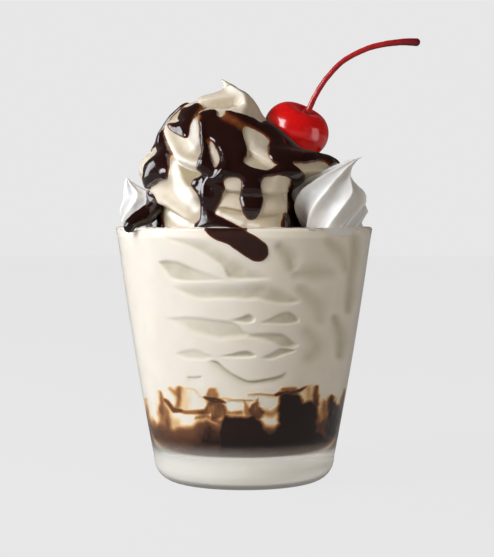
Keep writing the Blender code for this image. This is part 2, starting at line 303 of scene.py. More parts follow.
def nearest(flat, line, reach):
    """Points of a plane near a line: their indices, their offsets from it, its way, and how far along."""
    points = flat.reshape(-1, 2)
    low, high = line[:, :2].min(axis=0) - reach, line[:, :2].max(axis=0) + reach
    near = np.nonzero(((points > low) & (points < high)).all(axis=1))[0]
    points = points[near]
    best = np.full(len(near), np.inf)
    offset, way = np.zeros_like(points), np.zeros_like(points)
    along = np.zeros(len(near))
    for k, (a, b) in enumerate(zip(line[:-1, :2], line[1:, :2], strict=True)):
        run = b - a
        length = max(run @ run, 1e-18)
        t = np.clip((points - a) @ run / length, 0, 1)
        gap = points - (a + t[:, None] * run)
        square = (gap**2).sum(axis=1)
        closer = square < best
        best[closer] = square[closer]
        offset[closer] = gap[closer]
        way[closer] = run / np.sqrt(length)
        along[closer] = (k + t[closer]) / (len(line) - 1)
    return near, offset, way, along


def side_of_line(flat, line, reach):
    """Distance from a line, positive below one that runs right and inf when far, and how far along it."""
    side = np.full(flat.shape[:2], np.inf)
    share = np.zeros(flat.shape[:2])
    near, offset, way, along = nearest(flat, line, reach)
    below = way[:, 1] * offset[:, 0] - way[:, 0] * offset[:, 1]
    side.flat[near] = np.hypot(offset[:, 0], offset[:, 1]) * np.where(below >= 0, 1, -1)
    share.flat[near] = along
    return side, share


def band_depth(flat, chain, reach=5 * MM):
    """How deep points lie inside a band of changing half-width along a line, and its half-width there."""
    line = curve_through(chain, 1.0 * MM)
    depth = np.full(flat.shape[:2], -1.0)
    width = np.zeros(flat.shape[:2])
    near, offset, _, along = nearest(flat, line, chain[:, 2].max() + reach)
    width.flat[near] = np.interp(along, np.linspace(0, 1, len(line)), line[:, 2])
    depth.flat[near] = width.flat[near] - np.hypot(offset[:, 0], offset[:, 1])
    return depth, width


def outline_depth(flat, outline, reach=3 * MM):
    """How deep points lie inside a closed outline, less than 0 outside it."""
    corners = np.array(outline + outline[:1]) * MM
    depth = np.full(flat.shape[:2], -reach)
    near, offset, _, _ = nearest(flat, corners, reach)
    points = flat.reshape(-1, 2)[near]
    inside = np.zeros(len(near), bool)
    for a, b in zip(corners[:-1], corners[1:], strict=True):
        if a[1] == b[1]:
            continue
        crosses = (a[1] > points[:, 1]) != (b[1] > points[:, 1])
        inside ^= crosses & (points[:, 0] < a[0] + (points[:, 1] - a[1]) * (b[0] - a[0]) / (b[1] - a[1]))
    depth.flat[near] = np.hypot(offset[:, 0], offset[:, 1]) * np.where(inside, 1, -1)
    return depth


def soft_edge(depth, soft):
    """0 to 1 across an edge that is soft over this many millimetres to each side."""
    return smooth((depth + soft * MM) / (2 * soft * MM))


def eased_ends(along, share):
    """1 along a line, easing to 0 over this share of it at each end."""
    return smooth(along / share) * smooth((1 - along) / share)


def fold(side, along, depth, reach):
    """Outward shift at a fold: a round lip above the line, and under it a hollow that eases out."""
    hollow = smooth((side + 0.4 * MM) / (0.8 * MM)) * np.exp(-np.maximum(side, 0) / reach)
    lip = np.exp(-(((side + 1.6 * MM) / (2.0 * MM)) ** 2))
    shift = depth * (0.30 * lip * (side < 0.4 * MM) - hollow) * eased_ends(along, 0.14)
    return np.where(np.isfinite(side), shift, 0.0)


def ridge(side, along, height, width):
    """Outward shift at a ridge: a narrow crest with sloping sides."""
    shift = height * np.exp(-np.sqrt((side / width) ** 2 + 0.04) + 0.2) * eased_ends(along, 0.2)
    return np.where(np.isfinite(side), shift, 0.0)


def strand(side, along, height, width):
    """Outward shift at a strand: a round bead."""
    shift = height * np.exp(-((side / width) ** 2)) * eased_ends(along, 0.15)
    return np.where(np.isfinite(side), shift, 0)


def shift_along(flat, line, shape, size, width, reach):
    """Outward shift at one fold, ridge or strand of this size and width in mm, along a line in metres."""
    side, along = side_of_line(flat, curve_through(line, 1 * MM), reach)
    return shape(side, along, size * MM, width * MM)


def region_share(flat, rows, soft_top, soft_bottom):
    """1 inside a region whose top and bottom are given at each x, easing to 0 over these distances."""
    rows = curve_through(np.array(rows, float) * MM, 0.8 * MM)
    x, z = flat[..., 0], flat[..., 1]
    top = np.interp(x, rows[:, 0], rows[:, 1]) - z
    bottom = z - np.interp(x, rows[:, 0], rows[:, 2])
    ends = smooth((x - rows[0, 0]) / (0.6 * MM)) * smooth((rows[-1, 0] - x) / (0.6 * MM))
    return smooth(top / (soft_top * MM)) * smooth(bottom / (soft_bottom * MM)) * ends


# ---------------------------------------------------------------- shapes of the glass and its filling


def wall_radius(height):
    """The outer radius of the glass above its rounded heel."""
    share = np.clip((height - HEEL_ROUNDING) / (GLASS_HEIGHT - HEEL_ROUNDING), 0, 1)
    return HEEL_RADIUS + (RIM_RADIUS - HEEL_RADIUS) * share + SIDE_BOW * np.sin(pi * share)


def inside_radius(height):
    """The inner radius of the glass, with the round corner over its base."""
    low = np.clip(height - BASE_THICKNESS, 0, INNER_ROUNDING)
    corner = wall_radius(CORNER_TOP) - WALL - INNER_ROUNDING
    rounded = corner + np.sqrt(np.maximum(INNER_ROUNDING**2 - (INNER_ROUNDING - low) ** 2, 0))
    return np.where(height < CORNER_TOP, rounded, wall_radius(height) - WALL)


def arc(x, z, radius, start, end, steps):
    """Points of a round corner, between two angles in degrees."""
    turns = np.radians(np.linspace(start, end, steps + 1))
    return [(x + radius * np.cos(t), z + radius * np.sin(t)) for t in turns]


def glass_profile():
    """From the foot's centre out round the heel, up the side, over the rim and down to the inner floor."""
    heights = np.linspace(HEEL_ROUNDING, GLASS_HEIGHT - RIM_ROUNDING, SIDE_STEPS)
    profile = [(GLASS_PIN, 0.0), (12 * MM, 0.0)]
    profile += arc(HEEL_RADIUS - HEEL_ROUNDING, HEEL_ROUNDING, HEEL_ROUNDING, -90, 0, 14)
    profile += [(float(wall_radius(z)), float(z)) for z in heights[1:-1]]
    profile += arc(RIM_RADIUS - RIM_ROUNDING, GLASS_HEIGHT - RIM_ROUNDING, RIM_ROUNDING, 0, 180, 10)
    inner = np.linspace(GLASS_HEIGHT - 2 * RIM_ROUNDING, CORNER_TOP, SIDE_STEPS)
    profile += [(float(inside_radius(z)), float(z)) for z in inner]
    for angle in (75, 60, 45, 30, 15, 0):
        z = BASE_THICKNESS + INNER_ROUNDING * (1 - np.cos(radians(angle)))
        profile.append((float(inside_radius(z)), float(z)))
    profile.append((GLASS_PIN, BASE_THICKNESS))
    return np.array(profile)


def build_glass(material):
    """The tumbler, turned from its profile."""
    profile = glass_profile()
    angles = np.linspace(0, 2 * pi, GLASS_SEGMENTS, endpoint=False)
    grid = rings(angles, profile[:, 0], profile[:, 1])
    add_piece("glass_tumbler", grid, material, "frosted_glass", "glass")


# Hollows between the folds of soft serve that press on the front of the glass; each is sunk and also gets
# painted shade. Each gives how soft its top and bottom edges are, how deep and how shaded its left and right
# ends are, and (x, top, bottom) from left to right.
FRONT_HOLLOWS = (
    (5.5, 1.6, (0.8, 0.85), ((-30, 87.2, 86.2), (-25.7, 87.2, 84.2), (-21, 87, 82.6),
                             (-17.3, 86.4, 81.2), (-13.5, 85.6, 79.2), (-10.9, 84.6, 77.5),
                             (-7, 82.4, 74.6), (-5.2, 81, 71), (-2, 79, 70.2), (2, 77, 70.2),
                             (6, 74.6, 70.4), (10, 72, 70.8))),
    (2, 1, (1, 0.35), ((-29.5, 77.8, 76.8), (-26.5, 78.2, 73.2), (-24.9, 78.1, 71.1),
                       (-22.6, 77.8, 70.2), (-18.1, 75.8, 69.8), (-12, 73.5, 69.9), (-6.7, 71.4, 70.1))),
    (4.5, 1.7, (0.55, 1), ((-26, 69.4, 68.2), (-20.3, 69.9, 65.2), (-15.4, 70, 63.3), (-8.9, 70, 63.4),
                           (-3, 70, 63.3), (0.4, 70.2, 63), (4.4, 70.6, 63.3), (8.2, 70.4, 62.4),
                           (12, 69.2, 61.6), (15, 67.7, 61.5), (18, 65.8, 62.1), (21, 64.2, 63.2))),
    (1.6, 2.6, (0.35, 0.8), ((-28, 57.6, 56.6), (-21, 58.2, 53.4), (-18, 58.2, 51.4), (-13, 57.6, 49.9),
                             (-8.9, 57, 48.8), (-5, 56.6, 49), (-2.2, 55.6, 49.4), (0.4, 53, 49.8),
                             (3.4, 51.8, 50.4))),
    (1.2, 0.9, (0.3, 1.1), ((-5.6, 56.6, 55.9), (-1, 57.9, 55.3), (1.8, 58.9, 55.2), (3.4, 57.9, 55.9))),
    (1.2, 0.8, (0.5, 1.1), ((5.6, 55.9, 55.2), (9.5, 57.7, 54.9), (12.8, 59.4, 54.8), (15.8, 59.6, 54.9),
                            (18.8, 57.6, 55.7))),
    (1.6, 2, (0.6, 1.15), ((-2.4, 51.2, 50.4), (0.6, 51.8, 50), (4.4, 52.2, 49.2), (9.4, 52.4, 47.9),
                           (12, 52.2, 46.6), (13.5, 52.1, 46), (15.8, 50.6, 45.9), (18.8, 48.2, 47))),
    (1, 1, (0.5, 1.1), ((6, 43.5, 42.7), (9.4, 45.2, 42.3), (12, 46.7, 43.3), (14, 47, 44.1),
                        (17.6, 46.2, 45.2))),
    (1.8, 1.7, (0.5, 0.35), ((-24, 45, 44.3), (-20.3, 46.4, 42.4), (-16.5, 46.8, 41.9),
                             (-13.5, 45.5, 41.9), (-9.6, 44, 43))),
    (1.1, 0.9, (0.4, 1.1), ((-9.5, 44, 43.3), (-4, 45, 43), (0.4, 45.9, 43), (2.2, 45.6, 43.1),
                            (4, 44.4, 43.5))),
)
# Shallow dips that stay soft all round: their share of a hollow's depth and painted shade, and (x, z,
# half-width) places.
FRONT_DIPS = (
    (0.85, ((12.6, 82, 2.4), (15.6, 79, 4.4), (16.6, 75.3, 3))),
    (0.7, ((18.5, 72.6, 3), (24.5, 73.2, 5), (29, 73, 3))),
    (0.75, ((29, 84, 2.5), (33, 80, 4), (35, 75, 3))),
    (1, ((37.6, 86, 2.4), (37.6, 79, 3), (36.6, 72, 2.2), (36, 65, 2.4), (35.4, 60, 1.4))),
    (0.65, ((20, 67, 3), (25, 62, 4.4), (26, 57, 3))),
    (1, ((31, 57, 2), (32.8, 51, 3), (32.6, 44, 2))),
    (0.6, ((22, 52, 3), (25, 47, 4.4), (22, 43, 3))),
)
# Thin creases where one fold laps over the next, on the front of the glass; they get painted shade too.
FRONT_CREASES = (
    (1.3, ((-12.8, 42.4), (-9.4, 41.8), (-6.3, 39.2), (-2.8, 36.8), (1.4, 34.9), (5, 35.2), (8.4, 35.8),
           (12.2, 36.8), (15, 38.9))),
    (0.6, ((-19.6, 36.6), (-17, 36.3), (-14.4, 36.9))),
    (0.4, ((1.8, 30.4), (11.5, 30.2), (18.9, 30.9), (24.4, 34.8))),
    (0.4, ((-6, 28.3), (-1, 28.2), (3.8, 28.1))),
)
# The folds repeat round the sides and the back, turned by these degrees, mirrored or not, and lifted by
# these millimetres. They are fainter there, and fade in from the first of two angles over the second.
FOLD_REPEATS = ((103, -1, 1.5), (178, 1, -1.5), (256, -1, 2.5))
REPEAT_SHARE = 0.6
REPEATS_FROM = radians(86)
REPEATS_FADE = radians(14)
# The glass is unrolled at this radius, about the middle of its wall.
WALL_REACH = 40 * MM
# The folds reach this much further into the wall than the hollows do, so that no gap is left by the wall.
HOLLOW_DEPTH = 0.9 * MM
# The filling's top edge draws in from the wall over this height.
TOP_EASE = 3 * MM
# The filling draws in under the foot's fudge over this height.
TUCK_HEIGHT = 4.0 * MM


def folds_on_wall(flat, scale):
    """Depth of the hollows between the folds at each place of a plane, and a share that marks them for
    painted shade.
    """
    hollow_and_painted_shade = np.zeros(flat.shape[:2])
    for soft_top, soft_bottom, depths, rows in FRONT_HOLLOWS:
        depth = np.interp(flat[..., 0], (rows[0][0] * MM, rows[-1][0] * MM), depths)
        hollow_and_painted_shade = np.maximum(hollow_and_painted_shade, region_share(flat, rows, soft_top, soft_bottom) * depth)
    for depth, chain in FRONT_DIPS:
        inside, width = band_depth(flat, np.array(chain) * MM)
        share = smooth((inside + 0.6 * MM) / np.maximum(1.3 * width, 1 * MM)) * depth
        hollow_and_painted_shade = np.maximum(hollow_and_painted_shade, share)
    hollow_and_painted_shade *= 0.85 + 0.15 * ripple(np.concatenate((flat, flat[..., :1]), axis=-1), 9 * MM, 71)
    shift = np.clip(hollow_and_painted_shade, 0, 1) * HOLLOW_DEPTH * scale
    for depth, line in FRONT_CREASES:
        side, along = side_of_line(flat, curve_through(np.array(line) * MM, 1.0 * MM), 6 * MM)
        crease = -fold(side, along, depth * MM, 1.2 * MM)
        shift = np.maximum(shift, crease * scale)
        hollow_and_painted_shade = np.maximum(hollow_and_painted_shade, np.clip(crease / HOLLOW_DEPTH, 0, 1))
    return shift, hollow_and_painted_shade


def pressed(grid):
    """What presses on the wall, sunk in its hollows, and how deep each point lies in one, as a share of
    painted shade.
    """
    normals = normals_of(grid)
    front = smooth(facing(grid, normals) / 0.2)
    shift, hollow_and_painted_shade = folds_on_wall(seen(grid), front)
    hollow_and_painted_shade = hollow_and_painted_shade * front
    around = unrolled(grid, WALL_REACH)
    out_of_sight = smooth((np.abs(angle_of(grid)) - REPEATS_FROM) / REPEATS_FADE)
    for turn, hand, lift in FOLD_REPEATS:
        start = np.array((radians(turn) * WALL_REACH, lift * MM))
        more, more_hollow_and_painted_shade = folds_on_wall((around - start) * np.array((hand, 1)), REPEAT_SHARE)
        shift = np.maximum(shift, more * out_of_sight)
        hollow_and_painted_shade = np.maximum(hollow_and_painted_shade, more_hollow_and_painted_shade * REPEAT_SHARE * out_of_sight)
    top = smooth((FILL_TOP - grid[..., 2]) / TOP_EASE)
    wavy = 0.07 * MM * (1 + ripple(grid, 16 * MM, 3, 2))
    reach = np.clip(HOLLOW_DEPTH - shift - np.maximum(wavy, 0), 0, HOLLOW_DEPTH) * top
    return grid + normals * reach[..., None], hollow_and_painted_shade * top


def filling_grid(rows, cols):
    """The filling's wall from the glass's corner up to the rim, and how deep its hollows are, as a share of
    painted shade.
    """
    heights = np.linspace(CORNER_TOP, FILL_TOP - 0.5 * MM, rows)
    grid, hollow_and_painted_shade = pressed(rings(all_round(cols), inside_radius(heights) + INTO_WALL, heights))
    tucked = 1 - 0.02 * (1 - smooth((heights - heights[0]) / TUCK_HEIGHT))
    grid[..., :2] *= tucked[:, None, None]
    return grid, hollow_and_painted_shade


# Rings of the filling's top: their share of its radius, and how far they rise, in millimetres.
TOP_RINGS = ((0.985, 0.45), (0.955, 0.6), (0.92, 0.7), (0.88, 0.8), (0.82, 0.9), (0.74, 1), (0.5, 1))


def build_filling(material):
    """The filling with its closed top, level with the rim."""
    grid, hollow_and_painted_shade = filling_grid(*FILLING_GRID)
    edge = grid[-1]
    top = np.array([edge * (share, share, 1) + (0, 0, rise * MM) for share, rise in TOP_RINGS])
    top[1:, :, 2] += 0.5 * MM * ripple(top[1:], 14 * MM, 77)
    hollow_and_painted_shade = np.concatenate((hollow_and_painted_shade, np.zeros(top.shape[:2])))
    grid = np.concatenate((grid, top))
    # The hollow attribute carries the painted shade in the hollows.
    values = {"hollow": hollow_and_painted_shade}
    add_piece("soft_serve_filling", grid, material, "soft_serve_cream", "soft_serve", values=values)


# ---------------------------------------------------------------- the swirl


def outline_curve(count):
    """Height, centre and radius of the swirl at even steps along its smoothed outline, foot to tip."""
    rows = np.array(SWIRL_OUTLINE) * MM
    steps = np.diff(rows, axis=0)
    length = np.hypot(steps[:, 0], steps[:, 1]) + np.hypot(steps[:, 0], steps[:, 2])
    reach = np.concatenate(([0], np.cumsum(length)))
    fine = np.linspace(0, reach[-1], 500)
    columns = [np.interp(fine, reach, rows[:, k]) for k in range(3)]
    kernel = np.hanning(25)
    kernel /= kernel.sum()
    eased = []
    for column in columns:
        start = 2 * column[0] - column[12:0:-1]
        end = 2 * column[-1] - column[-2:-14:-1]
        eased.append(np.convolve(np.concatenate((start, column, end)), kernel, "valid"))
    at = np.linspace(0, reach[-1], count)
    height, left, right = (np.interp(at, fine, column) for column in eased)
    return height, (left + right) / 2, np.maximum((right - left) / 2, 0.15 * MM)


# Folds of the swirl's front: the hollow's depth and reach, and (x, z) lines that run left to right.
SWIRL_FOLDS = (
    (3.4, 6, ((-27.8, 127.5), (-27.5, 121.5), (-26, 117), (-24.4, 113.8), (-22.4, 111.8), (-19.8, 110.9),
              (-14.3, 108.9), (-8, 107))),
    (3.2, 5, ((-37, 108), (-34.4, 103), (-31.5, 99.8), (-29.9, 97.3), (-26.9, 96), (-23.7, 93.7),
              (-20.5, 91.8), (-16, 89))),
    (1.6, 3, ((0.5, 117), (2.3, 115.9), (4.6, 114.4), (7.1, 112.6), (9.3, 110.8), (13, 109))),
    (1.4, 4, ((-10, 102.8), (-3, 101.6), (6.5, 100.8), (11, 100.5), (15.5, 101.2), (24, 102.4))),
    (1.1, 3.5, ((-10, 96.6), (-1, 94.9), (6.5, 93.7), (12.2, 93.7), (18, 95.2))),
    (2.6, 2.8, ((-17, 132.4), (-12.6, 133.2), (-7.7, 133.6), (-3.5, 133.3), (-1.8, 132), (-1.4, 130.2))),
    (1.4, 3, ((6.6, 128), (5.2, 131.2), (2.6, 134.4), (-1, 137), (-5, 139.2))),
)
# Ridges of the swirl's front: height, width and their (x, z) lines.
SWIRL_RIDGES = (
    (2.4, 2.4, ((-25.6, 115), (-23.3, 110.6), (-21.2, 106.6), (-18.6, 102), (-15.4, 96.4))),
    (1.6, 2.4, ((-15.8, 129), (-17.6, 126.8), (-18.9, 122.9), (-19.3, 119.6), (-17.5, 116.7),
                (-15, 114.8))),
    (1.2, 1.6, ((-10.5, 95.3), (-4.5, 92.1), (1, 89))),
    (1.9, 1.5, ((-7.7, 140.8), (-5.9, 137.9), (-4.3, 135.8), (-1.4, 133.2), (-0.5, 130.6), (1.8, 128.6))),
    (1.4, 2, ((-16.6, 128.6), (-12.4, 129.9), (-6.6, 130.4), (-1.8, 130.1), (2.1, 128.1))),
    (1.2, 3, ((-29.5, 101), (-26, 97.5), (-22, 94), (-18.6, 90))),
)
# Painted shade in the folds of the swirl's front: how deep the shade is, how soft its edge is, and its (x,
# z) outline.
SWIRL_PAINTED_SHADES = (
    (0.85, 0.5, ((-23.7, 111), (-22.4, 111.5), (-20.9, 110.5), (-18.9, 109.6), (-16.9, 109.6),
                 (-15.1, 108.8), (-15.4, 107.7), (-16.9, 106.4), (-18.4, 105.5), (-18.6, 103.8),
                 (-19.4, 103), (-20.9, 105.3), (-22.2, 107.5), (-23.4, 109.8))),
    (0.75, 0.5, ((-27.4, 97.3), (-25.9, 96.6), (-24.4, 95.6), (-22.4, 94.3), (-20.9, 93), (-19.6, 91.8),
                 (-20.2, 91.3), (-22.2, 92.4), (-23.4, 93.6), (-24.9, 94.9), (-26.4, 96))),
    (0.6, 0.5, ((-14.9, 132.8), (-12, 133.4), (-8.9, 133.6), (-5.8, 133.4), (-3.8, 133.2), (-2.5, 132.4),
                (-1.9, 131.4), (-2.5, 130.5), (-5.8, 130.3), (-8.9, 130.3), (-12, 130.4), (-13.8, 130.6),
                (-14.3, 131.6))),
    (0.8, 0.6, ((-26, 126.6), (-25.8, 127.5), (-23.9, 129.5), (-22.3, 130.4), (-22.5, 129.1),
                (-23.1, 127.9), (-23.7, 126.8), (-25.6, 126))),
    (0.3, 1, ((-25.8, 122.6), (-22.3, 120.7), (-19.7, 120), (-18.9, 118.5), (-17.5, 116.6),
              (-16.2, 115.9), (-16.2, 112.6), (-18.2, 111.6), (-21.5, 112.9), (-24.1, 116.8),
              (-25.8, 120.8))),
    (0.2, 1.2, ((-32.6, 103.3), (-27.4, 105.8), (-25.9, 103.8), (-22.2, 100.3), (-18.9, 97.3),
                (-16.2, 94.8), (-17.2, 91.3), (-20.9, 93.8), (-25.9, 96.8), (-29.4, 98.8), (-32.1, 101.5))),
    (0.7, 0.5, ((-9.6, 96.1), (-7.3, 96.5), (-4.6, 96), (-1.3, 95.2), (-0.1, 93.1), (-1.9, 93.2),
                (-5.2, 93.6), (-8.1, 94.6), (-9.5, 95.2))),
    (0.45, 1.2, ((4, 91.5), (6, 94.6), (10, 95), (16, 95.6), (16, 89), (2, 89))),
    (0.5, 0.4, ((6.3, 101.7), (10, 101.5), (14.6, 101.6), (14.6, 101), (10, 100.9), (6.5, 101.1))),
    (0.5, 0.7, ((2.1, 115.9), (4.6, 114.5), (7, 112.7), (9, 111.3), (9.5, 109.5), (4.3, 109),
                (-1, 111.5), (0.5, 114))),
    (0.45, 0.8, ((16, 112), (33, 112), (33, 104), (20, 105))),
    (1, 0.4, ((-8.2, 141.3), (-4.4, 139.4), (-1.2, 137.6), (2.4, 135), (5, 132.2), (7.2, 128.4),
              (6.3, 128.4), (4.2, 131.8), (1.8, 134.4), (-1.6, 136.8), (-4.8, 138.8))),
)
# Painted highlights on the crests of the swirl's front, where they catch the light: (x, z, half-width)
# lines.
SWIRL_PAINTED_HIGHLIGHTS = (
    ((-27.5, 124, 0.3), (-27.2, 121, 0.5), (-26.3, 118, 0.6), (-25, 115.5, 0.8), (-23, 113, 1),
     (-20.5, 111.4, 0.7), (-17.8, 110.5, 0.4)),
    ((-17.2, 127.2, 0.6), (-17.3, 123.5, 1.2), (-17.5, 119.5, 1.6), (-17.3, 117, 1)),
    ((-25.4, 113.5, 0.8), (-24.6, 109.5, 1.2), (-23.6, 105.5, 2), (-21, 101.5, 2.4), (-18.5, 98.5, 1.8),
     (-17, 95.5, 1)),
    ((-27.6, 94, 0.8), (-24, 91.6, 1.2), (-20, 90, 1)),
    ((-9.9, 94.1, 0.3), (-4.6, 92.1, 0.5), (0, 90.4, 0.5), (5, 89.6, 0.3)),
    ((-7.7, 140.2, 0.3), (-6, 137.8, 0.5), (-5.2, 135.8, 0.7), (-3.2, 134.6, 0.6), (-1.2, 133.2, 0.6),
     (-0.8, 131.6, 0.5), (-2.6, 130.2, 0.3)),
)
# Folds of the sides and back wind on from those in front: depth, reach, and (degrees, height) lines.
BACK_FOLDS = (
    (2.2, 5, ((48, 102.8), (70, 101.5), (90, 100.5), (130, 99), (170, 98.5), (210, 100.5), (240, 104),
              (262, 107))),
    (2.4, 5, ((55, 108.5), (80, 109), (110, 109), (150, 108.5), (190, 111), (225, 115), (250, 121),
              (262, 126))),
    (1.8, 4, ((60, 94.5), (100, 93), (140, 91.5), (180, 91.5), (215, 93), (240, 95.5), (262, 98))),
    (2, 4, ((100, 118), (150, 118.5), (190, 121), (225, 125.5), (245, 129.5))),
    (1.4, 3, ((130, 128), (170, 127.5), (210, 130.5), (235, 132.5))),
)
# The front's slanting folds and ridges, which are the first two of each, come again round the back: turned
# by these degrees, and lower by these millimetres. Their middle in front is at this x.
SLANT_REPEATS = (128, 196, 150)
SLANTS = 2
SLANT_DROP = 2.5
SLANT_MIDDLE = -22
SLANT_REACH = 33
SLANT_SHARE = 0.8


def turned(line, turn):
    """A line of the front carried round the swirl, as (degrees, height)."""
    places = []
    for x, z in line:
        across = np.clip((x - SLANT_MIDDLE) / SLANT_REACH, -1, 1)
        places.append((degrees(np.arcsin(across)) + turn, z - SLANT_DROP))
    return places


def swirl_base(rows, cols):
    """The swirl before its folds."""
    height, centre, radius = outline_curve(rows)
    depths = curve_through(np.array(SWIRL_DEPTHS) * MM, 0.3 * MM)
    depth = np.interp(height, depths[:, 0], depths[:, 1])
    grid = rings(all_round(cols), np.stack((radius, depth, 0 * radius), axis=-1), height)
    grid[..., 0] += centre[:, None]
    return grid


# The rosette on the right stands at this angle from the front, and this far to each side of it the swirl
# reaches out less, in millimetres, up to a height above which it is left as it is.
BESIDE_TURN = radians(56)
BESIDE_WIDTH = radians(26)
BESIDE_REACH = 34
BESIDE_LESS = 12.5
BESIDE_TOP = 109 * MM
BESIDE_EASE = 7 * MM


def beside_rosette(grid):
    """Pulls the swirl in where the rosette on the right stands against it."""
    across = np.hypot(grid[..., 0], grid[..., 1])
    turn = (angle_of(grid) - BESIDE_TURN) / BESIDE_WIDTH
    room = (BESIDE_REACH - BESIDE_LESS * np.exp(-(turn**4) * 0.9)) * MM
    low = smooth((BESIDE_TOP - grid[..., 2]) / BESIDE_EASE)
    wanted = np.where(across > room, room / np.maximum(across, 1 * MM), 1.0)
    grid[..., :2] *= (1 + (wanted - 1) * low)[..., None]
    return grid


# How far from its line a fold and a ridge still shift the swirl.
FOLD_REACH = 22 * MM
RIDGE_REACH = 12 * MM
# A fold this deep gets the full painted shade.
SHADED_DEPTH = 2.6 * MM


def swirl_grid(rows, cols):
    """The swirl with its folds and ridges, painted shade in its folds and painted highlight on its crests.
    """
    grid = beside_rosette(swirl_base(rows, cols))
    normals = normals_of(grid)
    flat = seen(grid)
    front = in_sight(grid, normals, 0.15)
    around = unrolled(grid, SWIRL_REACH)
    shift = np.zeros((rows, cols))
    for depth, width, line in SWIRL_FOLDS:
        shift += shift_along(flat, np.array(line) * MM, fold, depth, width, FOLD_REACH) * front
    for height, width, line in SWIRL_RIDGES:
        shift += shift_along(flat, np.array(line) * MM, ridge, height, width, RIDGE_REACH) * front
    back = list(BACK_FOLDS)
    for turn in SLANT_REPEATS:
        for depth, width, line in SWIRL_FOLDS[:SLANTS]:
            back.append((depth * SLANT_SHARE, width, turned(line, turn)))
    for depth, width, line in back:
        shift += shift_along(around, laid_flat(line, SWIRL_REACH), fold, depth, width, FOLD_REACH)
    for turn in SLANT_REPEATS:
        for height, width, line in SWIRL_RIDGES[:SLANTS]:
            places = laid_flat(turned(line, turn), SWIRL_REACH)
            shift += shift_along(around, places, ridge, height, width, RIDGE_REACH)
    radius = np.linalg.norm(grid - grid.mean(axis=1, keepdims=True), axis=2)
    shift *= smooth((radius - 0.8 * MM) / (5 * MM))
    # Painted shade from how deep each fold is, and from the outlines of painted shade.
    hollow_and_painted_shade = smooth(-shift / SHADED_DEPTH) * 0.8
    painted_highlight = np.zeros((rows, cols))
    for share, soft, outline in SWIRL_PAINTED_SHADES:
        depth = outline_depth(flat, outline)
        hollow_and_painted_shade = np.maximum(hollow_and_painted_shade, share * soft_edge(depth, soft) * front)
    # Painted highlight along the crests, which also clears the painted shade there.
    for line in SWIRL_PAINTED_HIGHLIGHTS:
        depth, _ = band_depth(flat, np.array(line) * MM)
        painted_highlight = np.maximum(painted_highlight, soft_edge(depth, 0.9) * front)
    shift += 0.12 * MM * ripple(grid, 7 * MM, 5) * smooth(radius / (8 * MM))
    return grid + normals * shift[..., None], hollow_and_painted_shade * (1 - painted_highlight), painted_highlight


def build_swirl(material):
    """The swirl, with painted shade in its hollows and painted highlight on its crests, for the material."""
    grid, hollow_and_painted_shade, painted_highlight = swirl_grid(*SWIRL_GRID)
    values = {"hollow": hollow_and_painted_shade, "painted_highlight": painted_highlight}
    add_piece("soft_serve_swirl", grid, material, "soft_serve_cream", "soft_serve", values=values)


# ---------------------------------------------------------------- the fudge sauce

# Outlines of the sauce on the swirl's front, as (x, z) corners: the stream on the left, the streaks in the
# two folds at the top left, and the great pool with its three drips and its arm on the right.
SAUCE_STREAM = (
    (-27, 126.7), (-28.5, 124.6), (-29.4, 123.3), (-30.2, 121.5), (-30.8, 120.1), (-31.1, 118.4),
    (-31, 116.8), (-30.8, 115.3), (-31.3, 114.3), (-32.9, 112.9), (-34.6, 111.2), (-35, 109.8),
    (-35.4, 107.5), (-35.6, 105.8), (-35.3, 104), (-34.7, 102.3), (-33.9, 100.8), (-33.7, 99),
    (-34, 97.6), (-35.2, 96.5), (-36.6, 95.4), (-37.5, 93.2), (-37.5, 87), (-28, 87), (-28, 89.8),
    (-28.3, 93.8), (-28.4, 95), (-29.8, 95.6), (-30, 96.8), (-29.8, 97.8), (-30.6, 99.3), (-32, 101),
    (-32.8, 102.3), (-32.8, 103.5), (-30.9, 104.3), (-29.9, 105.3), (-28.6, 105.9), (-27.1, 106.1),
    (-26.6, 107.5), (-26.1, 110), (-26.3, 112.5), (-26.1, 114.2), (-25.4, 115.3), (-25.9, 116.6),
    (-26.7, 117.8), (-27.4, 119.4), (-27.8, 121.5), (-27.9, 123.3), (-27.6, 124.6),
)
SAUCE_EDGE_STREAK = (
    (-16.9, 134.6), (-18.4, 134.8), (-19.6, 134.4), (-21, 133.8), (-22.2, 132.8), (-23, 131.9),
    (-24, 131), (-24.6, 129.9), (-23.1, 130.5), (-21.9, 131.4), (-19.8, 132.2), (-18.2, 133),
    (-17.1, 133.6),
)
SAUCE_FOLD_STREAK = (
    (-27, 125), (-25.8, 125.5), (-23.9, 125.7), (-22.7, 126.2), (-23.6, 126.9), (-23.1, 127.9),
    (-22.5, 129.1), (-22.1, 130.1), (-21.2, 130.8), (-19.8, 131.1), (-18.2, 131.8), (-17.1, 132.5),
    (-15.5, 132.5), (-14.5, 131.6), (-13.9, 130.3), (-15.3, 129.9), (-16.3, 129.1), (-17, 128.3),
    (-17.8, 127), (-18.4, 125.6), (-18.9, 123.8), (-19.3, 121.5), (-19.7, 120.2), (-20.7, 120.2),
    (-22.3, 120.9), (-24.4, 122), (-25.8, 122.8), (-26.7, 123.9),
)
